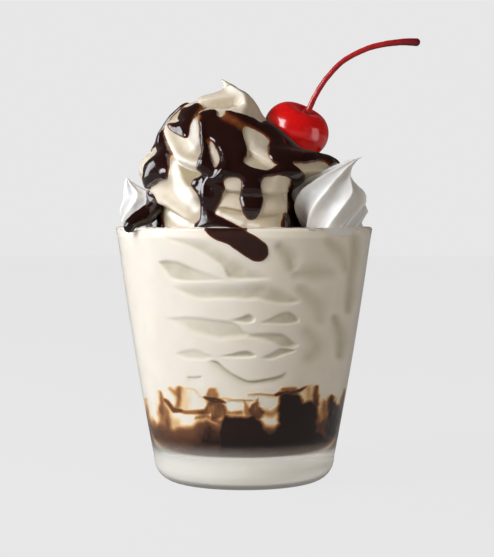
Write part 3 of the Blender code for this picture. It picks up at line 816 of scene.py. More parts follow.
SAUCE_POOL = (
    (-16.3, 128.3), (-15.7, 128.9), (-14.9, 129.4), (-13.6, 129.9), (-12, 130.2), (-10.3, 130.2),
    (-9.4, 129.7), (-9.3, 128.1), (-8.4, 127.7), (-7.6, 128), (-6.7, 128.8), (-6.8, 129.8),
    (-4.6, 129.8), (-2, 129.3), (0.5, 128.5), (3, 127.5), (4.5, 126.4), (5.6, 125.6), (7.5, 126.6),
    (10, 126.5), (14, 123.5), (18, 120), (21, 118), (27, 117), (31, 116), (35, 114), (33.4, 112.2),
    (32, 111.3), (29.8, 110.2), (29.1, 111.3), (28.2, 111.9), (26, 112.1), (23.4, 111.6), (20.9, 111.3),
    (18.3, 111.5), (16.8, 111.5), (18.3, 110.4), (19.9, 109.4), (21.2, 108.1), (21.6, 106.4),
    (20.5, 104), (18.4, 102.4), (17.6, 99), (18.2, 96), (19, 93), (20, 90), (20, 87), (12.6, 87),
    (12.6, 90.7), (13.1, 92.5), (14.2, 94.4), (15.8, 95.7), (15.7, 97.7), (15.1, 99.8), (14.4, 101.2),
    (15.2, 102.1), (15.8, 103.6), (16.3, 105.9), (15.9, 106.3), (14.5, 107), (12.6, 107.2), (10.4, 107),
    (8, 106.8), (6.8, 106.3), (6.1, 105), (5.9, 103.6), (6.1, 102.5), (6.5, 100.9), (6.8, 99.3),
    (6.7, 97.7), (6.1, 95.5), (5.3, 93.6), (4, 92), (2.4, 91.5), (1, 91.9), (0, 93.4), (-0.8, 95),
    (-1.3, 96.9), (-1.7, 98.8), (-1.5, 100.6), (-1.2, 102.3), (-1.1, 103.9), (-1.2, 105.4),
    (-1.9, 106.2), (-3.5, 106.6), (-5.2, 106.6), (-6.5, 106.2), (-7.2, 105), (-6.7, 103.6),
    (-6.5, 102.5), (-7.3, 101.2), (-8.1, 99), (-9, 96.9), (-9.6, 95.5), (-10.2, 94.3), (-9.8, 93.7),
    (-7.3, 92.5), (-4.6, 91), (-1.9, 89.6), (0.5, 88.3), (0.5, 87), (-17.4, 87), (-17.2, 89.8),
    (-16.9, 90.8), (-15.9, 91.6), (-15.6, 92.8), (-15.5, 95), (-15.5, 97.3), (-15.9, 99.3),
    (-16.6, 100.8), (-17.9, 102.6), (-18.7, 103.8), (-18.4, 105.3), (-17.4, 106.3), (-15.9, 106.8),
    (-15.1, 107.8), (-15.4, 108.8), (-16.6, 109.8), (-16.5, 111.8), (-16.1, 113.2), (-15.7, 114.3),
    (-15.3, 115), (-15.2, 116), (-15.4, 117.4), (-15.6, 118.8), (-15.8, 120.5), (-16, 122), (-16, 123.6),
    (-16.1, 125.2), (-16.2, 126.6),
)
# Gaps in the pool where the soft serve shows.
POOL_GAPS = (
    ((-12.3, 119.6), (-11.4, 119.1), (-10.6, 117.9), (-9.8, 116.2), (-9.1, 114.6), (-8.8, 113.2),
     (-8.9, 112), (-9.4, 110.7), (-10.1, 109.7), (-10.8, 110.2), (-11.1, 111.8), (-11.5, 113.8),
     (-11.9, 115.5), (-12.2, 117.2)),
    ((-0.5, 123.4), (-0.1, 124.4), (1.1, 124.4), (3.7, 123.1), (6.2, 121.8), (8.1, 120.2), (8.8, 119.3),
     (8.3, 118), (8.1, 116.1), (8.3, 114.2), (9.1, 112.6), (10.4, 111.3), (11.6, 110.8), (10, 110.1),
     (8.8, 109.7), (7.5, 109.1), (4.3, 109.6), (0.9, 111), (-0.1, 111.8), (0.2, 112.9), (1, 114.2),
     (1.3, 116.1), (1, 117.7), (0.2, 119.3), (-0.4, 121.5)),
)
# Raised strands in the sauce: height, width and (x, z) lines.
SAUCE_STRANDS = (
    (0.9, 1.1, ((-15, 127), (-14.8, 122), (-14.4, 117), (-14.3, 113), (-14.4, 109.5))),
    (0.8, 1.5, ((-11.4, 119.6), (-9.2, 116.6), (-7.4, 113.4), (-6.6, 110.4), (-8.4, 108.2), (-12, 106),
                (-13.8, 102), (-13.6, 96))),
    (0.7, 1, ((18, 113.2), (22, 113.2), (27, 113.4), (31, 112.6))),
)
# Bands of sauce on the sides and back: thickness, and (degrees, height, half-width) places.
SIDE_BANDS = (
    (0.8, ((277, 131, 1.6), (272, 127.5, 2.6), (267, 122.5, 3.4), (266, 118.8, 3), (269, 116.6, 1.4))),
    (1.1, ((92, 113, 3), (112, 111, 4), (118, 105, 3), (117, 99, 2.2), (118, 94, 3.4))),
    (1.1, ((96, 119, 3), (130, 121, 4), (150, 117, 5), (158, 110, 4), (160, 103, 2.4), (159, 97, 3.4))),
    (1.1, ((150, 125, 3), (185, 124, 5), (205, 118, 5), (211, 110, 3), (212, 104, 2.2), (212, 99.5, 3.2))),
    (1.1, ((205, 126, 3), (235, 123, 4), (250, 117, 4), (256, 110, 3))),
    (0.7, ((160, 130, 2), (195, 131, 3), (225, 130, 2.4), (262, 130.5, 2))),
)
SAUCE_SHOULDER = 2.0 * MM
SAUCE_THICKNESS = 1.5 * MM
# Over a fold the sauce rises at least this much, whatever its share of its own thickness.
LEAST_SHARE = 0.35
LEAST_RISE = 0.4 * MM
# How far the coat is sunk into the soft serve outside its edge, and the width over which it sinks.
SAUCE_SUNK = 0.4 * MM
SAUCE_EDGE = 0.35 * MM
SAUCE_MARGIN = 0.8 * MM
# The front's outlines are taken this far out of the sauce where the swirl turns away from the eye.
SAUCE_UNSEEN = 6 * MM
# The surface under the sauce is the swirl's, smoothed over these rows and columns.
SAUCE_SMOOTHED = (4, 8)
BULGE_SMOOTHED = (4, 6)
STRAND_REACH = 6 * MM
# Places in front where the sauce lets amber light through: (x, z, radius, share).
AMBER_SPOTS = (
    (-6.8, 126.8, 2.6, 0.74), (-4, 125.6, 2.8, 0.74), (-1.6, 123.8, 2.4, 0.74), (-16, 127.2, 1.6, 0.8),
    (-13, 130.4, 1.6, 0.6), (-15.4, 122.4, 1.2, 0.5), (-12.8, 118.6, 1.2, 0.7), (-10.2, 114.6, 1, 0.6),
    (-27.6, 124.8, 0.9, 0.8), (-26.4, 124.8, 1.2, 0.6), (-28.6, 94.6, 0.9, 0.7), (-18.6, 105, 1, 0.6),
    (-18.4, 133.4, 2, 0.62), (-15.2, 131.6, 1.8, 0.58), (-22.6, 128.4, 1.4, 0.55),
    (-24.6, 124.6, 1.6, 0.45),
)


def front_sauce(flat):
    """How deep points lie inside the sauce on the front."""
    depth = outline_depth(flat, SAUCE_POOL)
    for gap in POOL_GAPS:
        depth = np.minimum(depth, -outline_depth(flat, gap))
    for outline in (SAUCE_STREAM, SAUCE_EDGE_STREAK, SAUCE_FOLD_STREAK):
        depth = np.maximum(depth, outline_depth(flat, outline))
    return depth


def sauce_depth(grid, flat, front):
    """How deep points lie inside the sauce, in front and round the back."""
    inside = front_sauce(flat) - SAUCE_UNSEEN * (1 - front)
    around = unrolled(grid, SWIRL_REACH)
    for share, chain in SIDE_BANDS:
        depth, _ = band_depth(around, laid_flat(chain, SWIRL_REACH))
        inside = np.maximum(inside, depth * share)
    inside = blurred(np.clip(inside, -2 * MM, 5 * MM)[..., None], 1, 1)[..., 0]
    return inside + 0.12 * MM * ripple(grid, 6 * MM, 8)


def darkness(flat, front):
    """1 where the sauce keeps its depth of colour, and less at the spots where it is amber."""
    dark = 1.0
    for x, z, radius, strength in AMBER_SPOTS:
        gap = np.hypot(flat[..., 0] - x * MM, flat[..., 1] - z * MM) / (radius * MM)
        dark = dark * (1 - strength * np.exp(-(gap**2)) * front)
    return dark


def sauce_fields(rows, cols):
    """The swirl, the sauce's surface over it, normals, how deep inside the sauce, and its thickness."""
    raw = swirl_grid(rows, cols)[0]
    grid = blurred(raw, *SAUCE_SMOOTHED)
    normals = normals_of(grid)
    bulge = ((raw - grid) * normals).sum(axis=-1)
    flat = seen(grid)
    front = in_sight(grid, normals, 0.2)
    inside = sauce_depth(grid, flat, front)
    share = np.clip(inside / SAUCE_SHOULDER, 0, 1)
    rounded = np.sqrt(1 - (1 - share) ** 2)
    rise = SAUCE_THICKNESS * (0.75 * rounded + 0.25 * smooth(inside / (4 * MM)))
    for height, width, line in SAUCE_STRANDS:
        places = np.array(line) * MM
        rise += shift_along(flat, places, strand, height, width, STRAND_REACH) * front * share
    level = blurred(np.maximum(bulge, 0)[..., None], *BULGE_SMOOTHED)[..., 0] + rise
    least = bulge + np.minimum(LEAST_SHARE * rise, LEAST_RISE)
    level = eased_maximum(level, least, 0.5 * MM)
    level += 0.10 * MM * ripple(grid, 12 * MM, 21, 1) * share
    return raw, grid + normals * level[..., None], normals, inside, rise * darkness(flat, front)


def build_sauce(material):
    """The coat of sauce, round from edge to edge, and sunk into the soft serve outside its edge."""
    raw, over, normals, inside, thickness = sauce_fields(*SAUCE_GRID)
    under = raw - normals * SAUCE_SUNK
    blend = smooth((inside + SAUCE_EDGE) / (2 * SAUCE_EDGE))[..., None]
    top = under + (over - under) * blend
    keep = kept_faces(inside > -SAUCE_MARGIN)
    values = {"thickness": thickness / MM}
    add_piece("fudge_sauce_coat", top, material, "fudge", "fudge_sauce", keep=keep, values=values)


# What lies between the soft serve and the glass under the rim, in front: (x, z, half-width) places.
WALL_SAUCE = (
    (-14.3, 89.8, 1.5), (-10, 88.2, 2.9), (-4, 86, 3.6), (1, 83.3, 4.1), (4.6, 80.8, 3.9),
)
WALL_CREAM = (
    (20, 89.8, 0.5), (23, 88.9, 1.1), (26, 88.9, 0.9), (30, 88.3, 1.6), (34, 87.6, 1.9), (37, 88.4, 1.2),
    (40, 89.2, 1.2), (43, 89.6, 0.8),
)
# A tongue's grid starts at this height. Its middle stands out from the filling, and its edges are sunk.
TONGUES_FROM = 74 * MM
TONGUE_RISE = 0.7 * MM
TONGUE_SUNK = 0.5 * MM
TONGUE_MARGIN = 0.7 * MM
# How dark the sauce looks there, as a thickness in millimetres.
TONGUE_THICKNESS = 0.64


def build_on_wall(name, chain, degrees_round, material, slot, node):
    """A flat tongue on the inside of the glass, between two angles in degrees, sunk at its edges."""
    rows, cols = WALL_TONGUE_GRID
    heights = np.linspace(TONGUES_FROM, FILL_TOP + 0.4 * MM, rows)
    angles = np.radians(np.linspace(*degrees_round, cols))
    reach = INTO_WALL + (HOLLOW_DEPTH + 0.1 * MM) * smooth((FILL_TOP - heights) / TOP_EASE)
    grid = rings(angles, inside_radius(heights) + reach, heights)
    inside, _ = band_depth(seen(grid), np.array(chain) * MM)
    inside += 0.25 * MM * ripple(grid, 6 * MM, 40)
    rise = soft_edge(inside, 0.5) * TONGUE_RISE - TONGUE_SUNK
    grid[..., :2] *= (1 + rise / np.hypot(grid[..., 0], grid[..., 1]))[..., None]
    thickness = np.clip((inside + 0.2 * MM) / (0.9 * MM), 0, 1) * TONGUE_THICKNESS
    near = inside > -TONGUE_MARGIN
    keep = near[:-1, :-1] | near[1:, :-1] | near[:-1, 1:] | near[1:, 1:]
    values = {"thickness": thickness}
    add_piece(name, grid, material, slot, node, keep=keep, wrap=False, values=values)


# The drop that hangs over the rim on the left: places and radii along it, in millimetres.
RIM_DROP = (
    (-29.6, -14, 97, 2.2), (-31.2, -17, 95.2, 3), (-33.2, -19.8, 93.4, 3.3), (-35.4, -22, 92.2, 2.9),
    (-37.2, -23.9, 91.1, 2.4), (-38.2, -24.9, 90.3, 2.2), (-38.5, -25.2, 89.7, 2.2),
)


def tube_grid(line, sides):
    """Rings round a line of (x, y, z, radius), with round ends."""
    ways = unit(np.gradient(line[:, :3], axis=0))
    side = unit(np.cross(ways, np.array((0.0, 1.0, 0.0))))
    other = np.cross(side, ways)
    angle = np.linspace(0, 2 * pi, sides, endpoint=False)[None, :, None]
    around = side[:, None] * np.cos(angle) - other[:, None] * np.sin(angle)
    turn = np.linspace(0, pi / 2, 9)[1:-1]
    starts = [(line[0, :3] - ways[0] * line[0, 3] * np.cos(t), line[0, 3] * np.sin(t), 0) for t in turn]
    middle = [(row[:3], row[3], k) for k, row in enumerate(line)]
    ends = [(line[-1, :3] + ways[-1] * line[-1, 3] * np.sin(t), line[-1, 3] * np.cos(t), -1) for t in turn]
    return np.array([centre + around[k] * radius for centre, radius, k in starts + middle + ends])


def build_rim_drop(material):
    """The thick drop of sauce that leaves the swirl's foot and hangs over the rim."""
    grid = tube_grid(curve_through(np.array(RIM_DROP) * MM, 0.4 * MM), RIM_DROP_SIDES)
    grid = roughened(grid, 0.15 * MM, 5 * MM, 12)
    values = {"thickness": np.full(grid.shape[:2], 2.0)}
    add_piece("fudge_drop_on_rim", grid, material, "fudge", "fudge_sauce", values=values)


# ---------------------------------------------------------------- the fudge in the foot of the glass

# Smears of fudge on the front wall: how dark, how soft, and (x, z, half-width) places.
FOOT_SMEARS = (
    (0.47, 1.2, ((-22, 34, 0.9), (-21.9, 32.3, 1.3), (-22.4, 30, 1.2), (-22.4, 27.5, 1), (-23, 25.5, 1))),
    (0.38, 1.2, ((-25.2, 32.6, 0.7), (-23.6, 31.4, 1), (-22.8, 30, 1))),
    (0.17, 1.6, ((-20.6, 32, 1.2), (-20.2, 28, 1.6), (-20, 25.5, 1.6))),
    (0.22, 0.7, ((-19.4, 32.6, 0.3), (-17.2, 31.8, 0.4), (-15.2, 29.8, 0.3))),
    (0.54, 1.1, ((-28.4, 30.4, 0.9), (-28, 27.5, 1.3), (-27.4, 24, 1.7), (-27, 21, 1.8), (-26.6, 19, 1.8))),
    (0.27, 1.8, ((-26, 24, 1.3), (-25, 21, 1.8), (-23, 19.8, 1.6))),
    (0.45, 1, ((-33.2, 28.5, 0.4), (-32.8, 24.5, 0.7), (-31.6, 21.5, 1), (-30.2, 19, 1.6),
               (-28, 17.2, 2.1))),
    (0.49, 1, ((-10.9, 32.2, 1.6), (-10.9, 30.8, 2.6), (-10.9, 29.4, 2.7))),
    (0.63, 0.8, ((-16.4, 23.8, 0.8), (-13, 24.2, 1.3), (-10.8, 26.2, 2.3), (-9.4, 24.6, 3.1),
                 (-7, 24, 1.7))),
    (0.49, 0.7, ((-16.4, 21.8, 0.7), (-13, 22.4, 0.8), (-10, 22, 0.8), (-8.4, 20.8, 0.7),
                 (-8.2, 18.6, 0.5))),
    (0.47, 0.8, ((-4.8, 23.8, 0.7), (-1.2, 23.9, 0.8))),
    (0.43, 0.8, ((0, 27.8, 0.5), (0.8, 26, 1), (1.4, 24.4, 1.6))),
    (0.67, 0.8, ((4.1, 28, 0.4), (3.9, 27, 1), (3.6, 25.2, 1.8), (4.6, 23.4, 2.3))),
    (0.38, 1.2, ((7, 24, 1.3), (9, 23.4, 1.3), (10.6, 25, 1))),
    (0.56, 1.2, ((15.4, 33.6, 1.6), (15.6, 31.8, 3.1))),
    (0.69, 0.9, ((24.4, 35.4, 0.7), (24.5, 33, 0.9), (24.6, 30, 1.2), (24.4, 27, 1.3))),
    (0.34, 1.4, ((22, 32, 1), (22.2, 29.4, 1.3))),
    (0.49, 1.2, ((27.2, 27, 1), (27.4, 23.5, 1.4), (26.8, 19.4, 1.7))),
    (0.87, 0.9, ((29.6, 29.6, 0.8), (29.4, 27.4, 1.3), (30.6, 24, 2.3), (30, 20.5, 2.3), (29, 17.5, 2.1))),
    (0.76, 1, ((34.7, 32, 0.5), (33.9, 29.5, 1), (33.2, 26, 1.4), (32.6, 22.5, 1.4), (31.6, 19.5, 1.3))),
)
# Thin dark lines of fudge: how dark, and (x, z, half-width) places.
FOOT_LINES = (
    (0.66, ((-27, 28.5, 0.5), (-25.2, 26.4, 0.7), (-23.9, 25, 0.9), (-21.6, 24.5, 0.7))),
    (0.52, ((-22.6, 24.7, 0.7), (-19, 24, 0.7), (-15.6, 24, 0.9), (-12, 24.2, 0.9))),
    (0.76, ((-13.9, 29.5, 0.3), (-12.6, 28.9, 0.8), (-10.5, 28.4, 1.1), (-8.4, 27.9, 0.9),
            (-6.5, 27.2, 0.3))),
    (0.26, ((-8, 28.8, 0.4), (-3, 28.3, 0.4), (3, 28.2, 0.3))),
    (0.34, ((1.4, 30.3, 0.3), (6, 30.2, 0.4), (10.5, 30, 0.5))),
    (0.78, ((11, 30.2, 0.6), (14, 30.6, 0.9), (17, 31.2, 0.7), (19.4, 31.9, 0.5), (21.6, 33.4, 0.5),
            (23.6, 34.2, 0.4))),
)
# Deeper fudge: how dark it is, how soft its edge is, and its (x, z) outline.
FOOT_DEPTHS = (
    (0.64, 1.4, ((-36, 24), (-33, 21.5), (-30, 19.6), (-27, 18.6), (-24, 18.4), (-21.6, 18.6), (-18, 19),
                 (-16.3, 20.2), (-14.6, 21.2), (-12, 21.4), (-9.9, 20.8), (-8, 19), (20, 19), (28, 22),
                 (36, 24), (38, 0), (-38, 0))),
    (0.8, 3, ((-38, 17), (-30, 14.5), (-20, 14), (-12, 16), (0, 16), (20, 16), (30, 15), (38, 17),
              (38, 0), (-38, 0))),
    (0.76, 1.8, ((-16, 8), (-15.6, 16), (-14.4, 19.4), (-12, 20.2), (-9.8, 19.6), (-8, 17), (-6, 8))),
    (1, 1.3, ((-9.2, 5), (-8.8, 16), (-8, 21), (-6.8, 22.6), (-4, 22.6), (0, 22.4), (3.8, 23),
              (5.6, 20.5), (6.4, 17.8), (8.8, 16.6), (11, 17.6), (12.4, 19.6), (11.6, 22.4),
              (11.2, 24.6), (11.8, 27), (12.2, 29.6), (14.5, 30.4), (18, 30.6), (19.4, 29.4),
              (20.4, 27.4), (22.2, 28), (24.2, 27), (25.4, 25), (25.6, 22.5), (24.8, 20), (25.2, 17),
              (27.5, 15.4), (30, 14.4), (33, 13), (34, 5))),
)

# Away from the front the fudge stands this high on average, and rises and sinks by this much in waves, each
# with its share, how often it comes round and where it starts. It fades in from the first angle.
REST_HEIGHT = 26.5 * MM
REST_PEAKS = 4.5 * MM
REST_WAVES = ((0.5, 3, 0.4), (0.42, 7, 2.1), (0.3, 13, -0.7))
REST_EASE = 8 * MM
REST_FROM = radians(70)
REST_FADE = radians(16)
# The fudge on the floor of the glass is this much paler, from this height down.
UNDERSIDE_PALER = 0.30
UNDERSIDE_TOP = 18 * MM


def screened(shares):
    """Several layers seen through each other."""
    clear = 1.0
    for share in shares:
        clear = clear * (1 - share)
    return 1 - clear


def fudge_share(grid, normals):
    """How much fudge lies on the wall at each point: 0 is plain soft serve, and 1 deep fudge."""
    flat = seen(grid)
    front = smooth(facing(grid, normals) / 0.15)
    drift = 0.55 * MM * np.stack((ripple(grid, 6 * MM, 51), ripple(grid, 6 * MM, 52)), axis=-1)
    streaks = 1 + 0.13 * ripple(grid * np.array((1, 1, 0.3)), 3.5 * MM, 53)
    layers = []
    for dark, soft, chain in FOOT_SMEARS:
        depth, _ = band_depth(flat + drift, np.array(chain) * MM, 6 * MM)
        layers.append(dark * streaks * soft_edge(depth, soft) * front)
    for dark, soft, outline in FOOT_DEPTHS:
        depth = outline_depth(flat + drift, outline, 4 * MM)
        layers.append(dark * soft_edge(depth, soft) * front)
    angle = angle_of(grid)
    peaks = sum(high * np.sin(times * angle + start) for high, times, start in REST_WAVES)
    edge = REST_HEIGHT + REST_PEAKS * peaks
    rest = smooth((edge - grid[..., 2]) / REST_EASE + 0.5 + 0.3 * ripple(grid, 8 * MM, 17))
    layers.append(smooth((abs(angle) - REST_FROM) / REST_FADE) * rest)
    deepest = np.max(layers, axis=0)
    share = 0.55 * deepest + 0.45 * screened(layers)
    for dark, chain in FOOT_LINES:
        depth, width = band_depth(flat + 0.4 * drift, np.array(chain) * MM, 3 * MM)
        line = dark * smooth((depth + 0.6 * MM) / (1.1 * MM))
        share = np.maximum(share, line * front * (width > 0))
    underneath = smooth((UNDERSIDE_TOP - grid[..., 2]) / (4 * MM))
    return np.clip(share, 0, 1) * (1 - UNDERSIDE_PALER * underneath)


CORNER_STEPS = 22


def foot_grid(rows, cols):
    """The inside of the glass from the middle of its floor, round its corner and up to the foot's top."""
    low = BASE_THICKNESS - INTO_WALL
    turn = np.radians(np.linspace(0, 90, CORNER_STEPS))
    corner = inside_radius(np.array(CORNER_TOP)) - INNER_ROUNDING
    bend = INNER_ROUNDING + INTO_WALL
    bend_heights = CORNER_TOP - bend * np.cos(turn)
    rest = np.linspace(bend_heights[-1], FOOT_TOP, rows - CORNER_STEPS + 1)[1:]
    floor = (0.1 * MM, corner * 0.35, corner * 0.7)
    radii = np.concatenate((floor, corner + bend * np.sin(turn), inside_radius(rest) + INTO_WALL))
    heights = np.concatenate(((low, low, low), bend_heights, rest))
    return rings(all_round(cols), radii, heights)


def build_foot(material):
    """Fudge on the wall and floor of the glass, in smears of changing depth."""
    wall = foot_grid(*FOOT_GRID)
    normals = normals_of(wall)
    share = fudge_share(wall, normals)
    high = smooth((wall[..., 2] - CORNER_TOP - TUCK_HEIGHT) / (1 * MM))
    share *= smooth((FOOT_TOP - wall[..., 2]) / (1.5 * MM))
    # The same painted shade in the hollows as on the filling.
    grid, hollow_and_painted_shade = pressed(wall)
    sunk = 0.4 * MM * high * (1 - smooth(share / 0.05)) - 0.05 * MM
    grid = grid - normals * sunk[..., None]
    keep = kept_faces((share > 0.006) | (high < 0.9))
    values = {"fudge": share, "hollow": hollow_and_painted_shade}
    add_piece("fudge_in_foot", grid, material, "fudge", "fudge_layer", keep=keep, values=values)


# ---------------------------------------------------------------- rosettes, cherry and stem

# Each rosette: its depth from the front, how far the crests are turned, and (height, left, right) rows.
ROSETTES = (
    ("right", -17.5, 0.31, ((86.9, 20.6, 42.4), (91.5, 18.6, 42.9), (95, 17, 42.7), (98, 16, 42.4),
                            (101, 16, 41.4), (103.2, 17.4, 39.4), (105.4, 20.4, 37.6), (107.4, 24, 36.9),
                            (109.4, 28.4, 37), (111.2, 32.8, 38), (112.4, 36.6, 39), (113.1, 39.4, 40.4))),
    ("left", 6, 2.3, ((86.9, -44.4, -22), (90, -44.6, -22), (94, -44.4, -22.5), (97.5, -43.8, -25),
                      (100.5, -43.2, -30), (103, -42.9, -36), (105, -42.6, -39.6), (106.5, -42, -41.2))),
)
FLUTES = 8
FLUTE_DEPTH = 0.19
FLUTE_TWIST = radians(120)


def rosette_grid(depth, turn, rows):
    """A piped star: sharp crests that twist up an outline leaning to one side, and close in a fine point."""
    levels, cols = ROSETTE_GRID
    rows = curve_through(np.array(rows), 0.5)
    reach = np.concatenate(([0], np.cumsum(np.linalg.norm(np.diff(rows, axis=0), axis=1))))
    at = np.linspace(0, reach[-1], levels)
    height, left, right = (np.interp(at, reach, rows[:, k])[:, None] for k in range(3))
    share = (height - height[0]) / (height[-1] - height[0])
    angle = all_round(cols)[None]
    phase = FLUTES / 2 * (angle - turn - FLUTE_TWIST * share)
    flute = np.sqrt(np.sin(phase) ** 2 + 0.001)
    radius = (right - left) / 2 * (1 - FLUTE_DEPTH * flute * (0.5 + 0.5 * smooth(share / 0.1)))
    x = (left + right) / 2 + radius * np.sin(angle)
    y = depth - radius * np.cos(angle)
    points = np.stack((x, y, height + 0 * angle), axis=-1) * MM
    across = np.hypot(points[..., 0], points[..., 1])
    limit = RIM_RADIUS - WALL - 0.3 * MM + np.maximum(points[..., 2] - GLASS_HEIGHT, 0) * 0.55
    points[..., :2] *= np.where(across > limit, limit / across, 1.0)[..., None]
    points = roughened(points, 0.06 * MM, 3 * MM, 31)
    # The last two are the shares of painted shade in the flutes and of painted highlight on the crests.
    return points, smooth(1.3 * flute - 0.1), smooth(1 - flute / 0.30)


def build_rosettes(material):
    """The two rosettes of whipped cream, with painted shade in their creases and painted highlight on their
    crests.
    """
    for hand, depth, turn, rows in ROSETTES:
        name = "whipped_rosette_" + hand
        grid, hollow_and_painted_shade, painted_highlight = rosette_grid(depth, turn, rows)
        values = {"hollow": hollow_and_painted_shade, "painted_highlight": painted_highlight}
        add_piece(name, grid, material, "whipped_cream", "cream_rosette_" + hand, values=values)


CHERRY_CENTRE = np.array((18.4, 0.8, 123.4)) * MM
CHERRY_RADIUS = 11.5 * MM
CHERRY_HALF_HEIGHT = 9.9 * MM
CHERRY_DIMPLE = 3.4 * MM
DIMPLE_WIDTH = 0.42
CHERRY_AXIS = Vector((0.40, -0.30, 0.87)).normalized()
STEM_ROUTE = (
    (22.3, 129.8, 1.1), (24.2, 133.7, 1), (26.6, 138, 0.95), (29.6, 142.2, 0.92), (35.4, 147.8, 0.92),
    (44.1, 152, 0.98), (52.4, 153.7, 1.1), (58.2, 154, 1.3), (60.3, 153.9, 1.4),
)


def build_cherry(material):
    """The cherry: a round with soft lobes, and a dimple about its axis."""
    rows, cols = CHERRY_GRID
    polar = np.linspace(pi, 0, rows)[1:-1, None]
    angle = all_round(cols)[None]
    away = np.sin(polar) + 0 * angle
    up = np.cos(polar) + 0 * angle
    lobes = 1 + 0.018 * np.sin(angle - 0.6) * away + 0.012 * np.sin(2 * angle + 0.5) * away
    dimple = CHERRY_DIMPLE * np.exp(-((away / DIMPLE_WIDTH) ** 2)) * (up > 0)
    z = up * CHERRY_HALF_HEIGHT - dimple
    x = away * lobes * CHERRY_RADIUS * np.sin(angle)
    y = -away * lobes * CHERRY_RADIUS * np.cos(angle)
    turn = np.array(CHERRY_AXIS.to_track_quat("Z", "Y").to_matrix())
    grid = np.stack((x, y, z), axis=-1) @ turn.T + CHERRY_CENTRE
    cherry = add_piece("maraschino_cherry", grid, material, "cherry_red", "cherry")
    cherry.visible_glossy = False
    return cherry


def build_stem(material):
    """The stem, from the pit of the dimple along its route."""
    axis = np.array(CHERRY_AXIS)
    pit = CHERRY_CENTRE + axis * (CHERRY_HALF_HEIGHT - CHERRY_DIMPLE - 0.6 * MM)
    route = [(*pit, 1.5 * MM), (*(pit + axis * 1.2 * MM), 1.1 * MM)]
    route += [(x * MM, pit[1], z * MM, r * MM) for x, z, r in STEM_ROUTE]
    line = curve_through(np.array(route), 0.5 * MM)
    grid = tube_grid(line, STEM_SIDES)
    grid = roughened(grid, 0.05 * MM, 3 * MM, 61)
    add_piece("stem_of_cherry", grid, material, "stem_red", "cherry_stem")


# ---------------------------------------------------------------- materials


def set_inputs(tree, node, inputs):
    """Gives inputs of a node their plain values, or links them from a socket."""
    for name, value in inputs.items():
        if isinstance(value, bpy.types.NodeSocket):
            tree.links.new(value, node.inputs[name])
        else:
            node.inputs[name].default_value = value


def add_node(tree, kind, inputs, **settings):
    """A new shader node with these settings and inputs."""
    node = tree.nodes.new("ShaderNode" + kind)
    for name, value in settings.items():
        setattr(node, name, value)
    set_inputs(tree, node, inputs)
    return node


def opaque(colour):
    """The colour with a full alpha, as nodes take it."""
    return (*colour, 1.0)


def noise(tree, scale, detail=3.0, distortion=0.0):
    """Soft clouds from 0 to 1, about this many to a metre."""
    where = add_node(tree, "TexCoord", {}).outputs["Object"]
    inputs = {"Vector": where, "Scale": scale, "Detail": detail, "Distortion": distortion}
    return add_node(tree, "TexNoise", inputs).outputs["Fac"]


def ramp(tree, source, stops):
    """A colour for each value, between stops of (value, colour)."""
    node = add_node(tree, "ValToRGB", {"Fac": source})
    while len(node.color_ramp.elements) < len(stops):
        node.color_ramp.elements.new(0.5)
    for element, (place, colour) in zip(node.color_ramp.elements, stops, strict=True):
        element.position = place
        element.color = opaque(colour)
    return node.outputs["Color"]


def bump(tree, source, strength, distance):
    """Normals that follow the source as a height."""
    inputs = {"Strength": strength, "Distance": distance, "Height": source}
    return add_node(tree, "Bump", inputs).outputs["Normal"]


def calculated(tree, operation, *values):
    """A Math node on values that are each a socket or a number."""
    return add_node(tree, "Math", dict(enumerate(values)), operation=operation).outputs["Value"]


def in_range(tree, source, low=0.0, high=1.0, start=0.0, end=1.0, **settings):
    """A value that goes from start to end while its source goes from low to high."""
    inputs = {"Value": source, "From Min": low, "From Max": high, "To Min": start, "To Max": end}
    return add_node(tree, "MapRange", inputs, **settings).outputs["Result"]


def coordinate(tree, axis, space="Object"):
    """One coordinate of a place: in metres on a piece, or of the way that is looked in."""
    where = add_node(tree, "TexCoord", {}).outputs[space]
    return add_node(tree, "SeparateXYZ", {"Vector": where}).outputs[axis]


def height_ramp(tree, low, high, start, end):
    """A value that eases from start to end between two heights of the piece."""
    return in_range(tree, coordinate(tree, "Z"), low, high, start, end, interpolation_type="SMOOTHSTEP")


def attribute(tree, name):
    """The numbers that mesh_from_grid() kept under this name."""
    return add_node(tree, "Attribute", {}, attribute_name=name).outputs["Fac"]


def mixed(tree, share, first, second):
    """A colour that goes from the first to the second."""
    inputs = {"Factor": share, "A": first, "B": second}
    return add_node(tree, "Mix", inputs, data_type="RGBA").outputs["Result"]


def new_material(name):
    """A new material, its node tree and the shader in it."""
    material = bpy.data.materials.new(name)
    material.use_nodes = True
    tree = material.node_tree
    return material, tree, tree.nodes["Principled BSDF"]


# Colours of the soft serve against the glass and in the swirl, and of the whipped cream.
FILLING_TONES = ((0.80, 0.73, 0.65), (0.84, 0.775, 0.705))
FILLING_SHADE = (0.545, 0.49, 0.375)
FILLING_LIGHT = (0.88, 0.83, 0.77)
SWIRL_TONES = ((0.565, 0.485, 0.385), (0.635, 0.555, 0.45))
SWIRL_SHADE = (0.39, 0.315, 0.19)
SWIRL_LIGHT = (0.84, 0.79, 0.72)
WHIPPED_TONES = ((0.76, 0.74, 0.735), (0.84, 0.815, 0.81))
WHIPPED_SHADE = (0.66, 0.645, 0.645)
WHIPPED_LIGHT = (0.92, 0.905, 0.90)
# Two tones that mottle each cream, the painted shade in its hollows and the painted highlight on its crests.
FILLING_LOOKS = (FILLING_TONES, FILLING_SHADE, FILLING_LIGHT)
SWIRL_LOOKS = (SWIRL_TONES, SWIRL_SHADE, SWIRL_LIGHT)
WHIPPED_LOOKS = (WHIPPED_TONES, WHIPPED_SHADE, WHIPPED_LIGHT)
# How rough the grain of cream is, at its smoothest and roughest, and how much it shines in the open.
CREAM_ROUGHNESS = ((0.36,) * 3, (0.50,) * 3)
CREAM_GLOSS = 0.35
# What touches the glass has no gloss of its own.
NO_GLOSS = 0.0
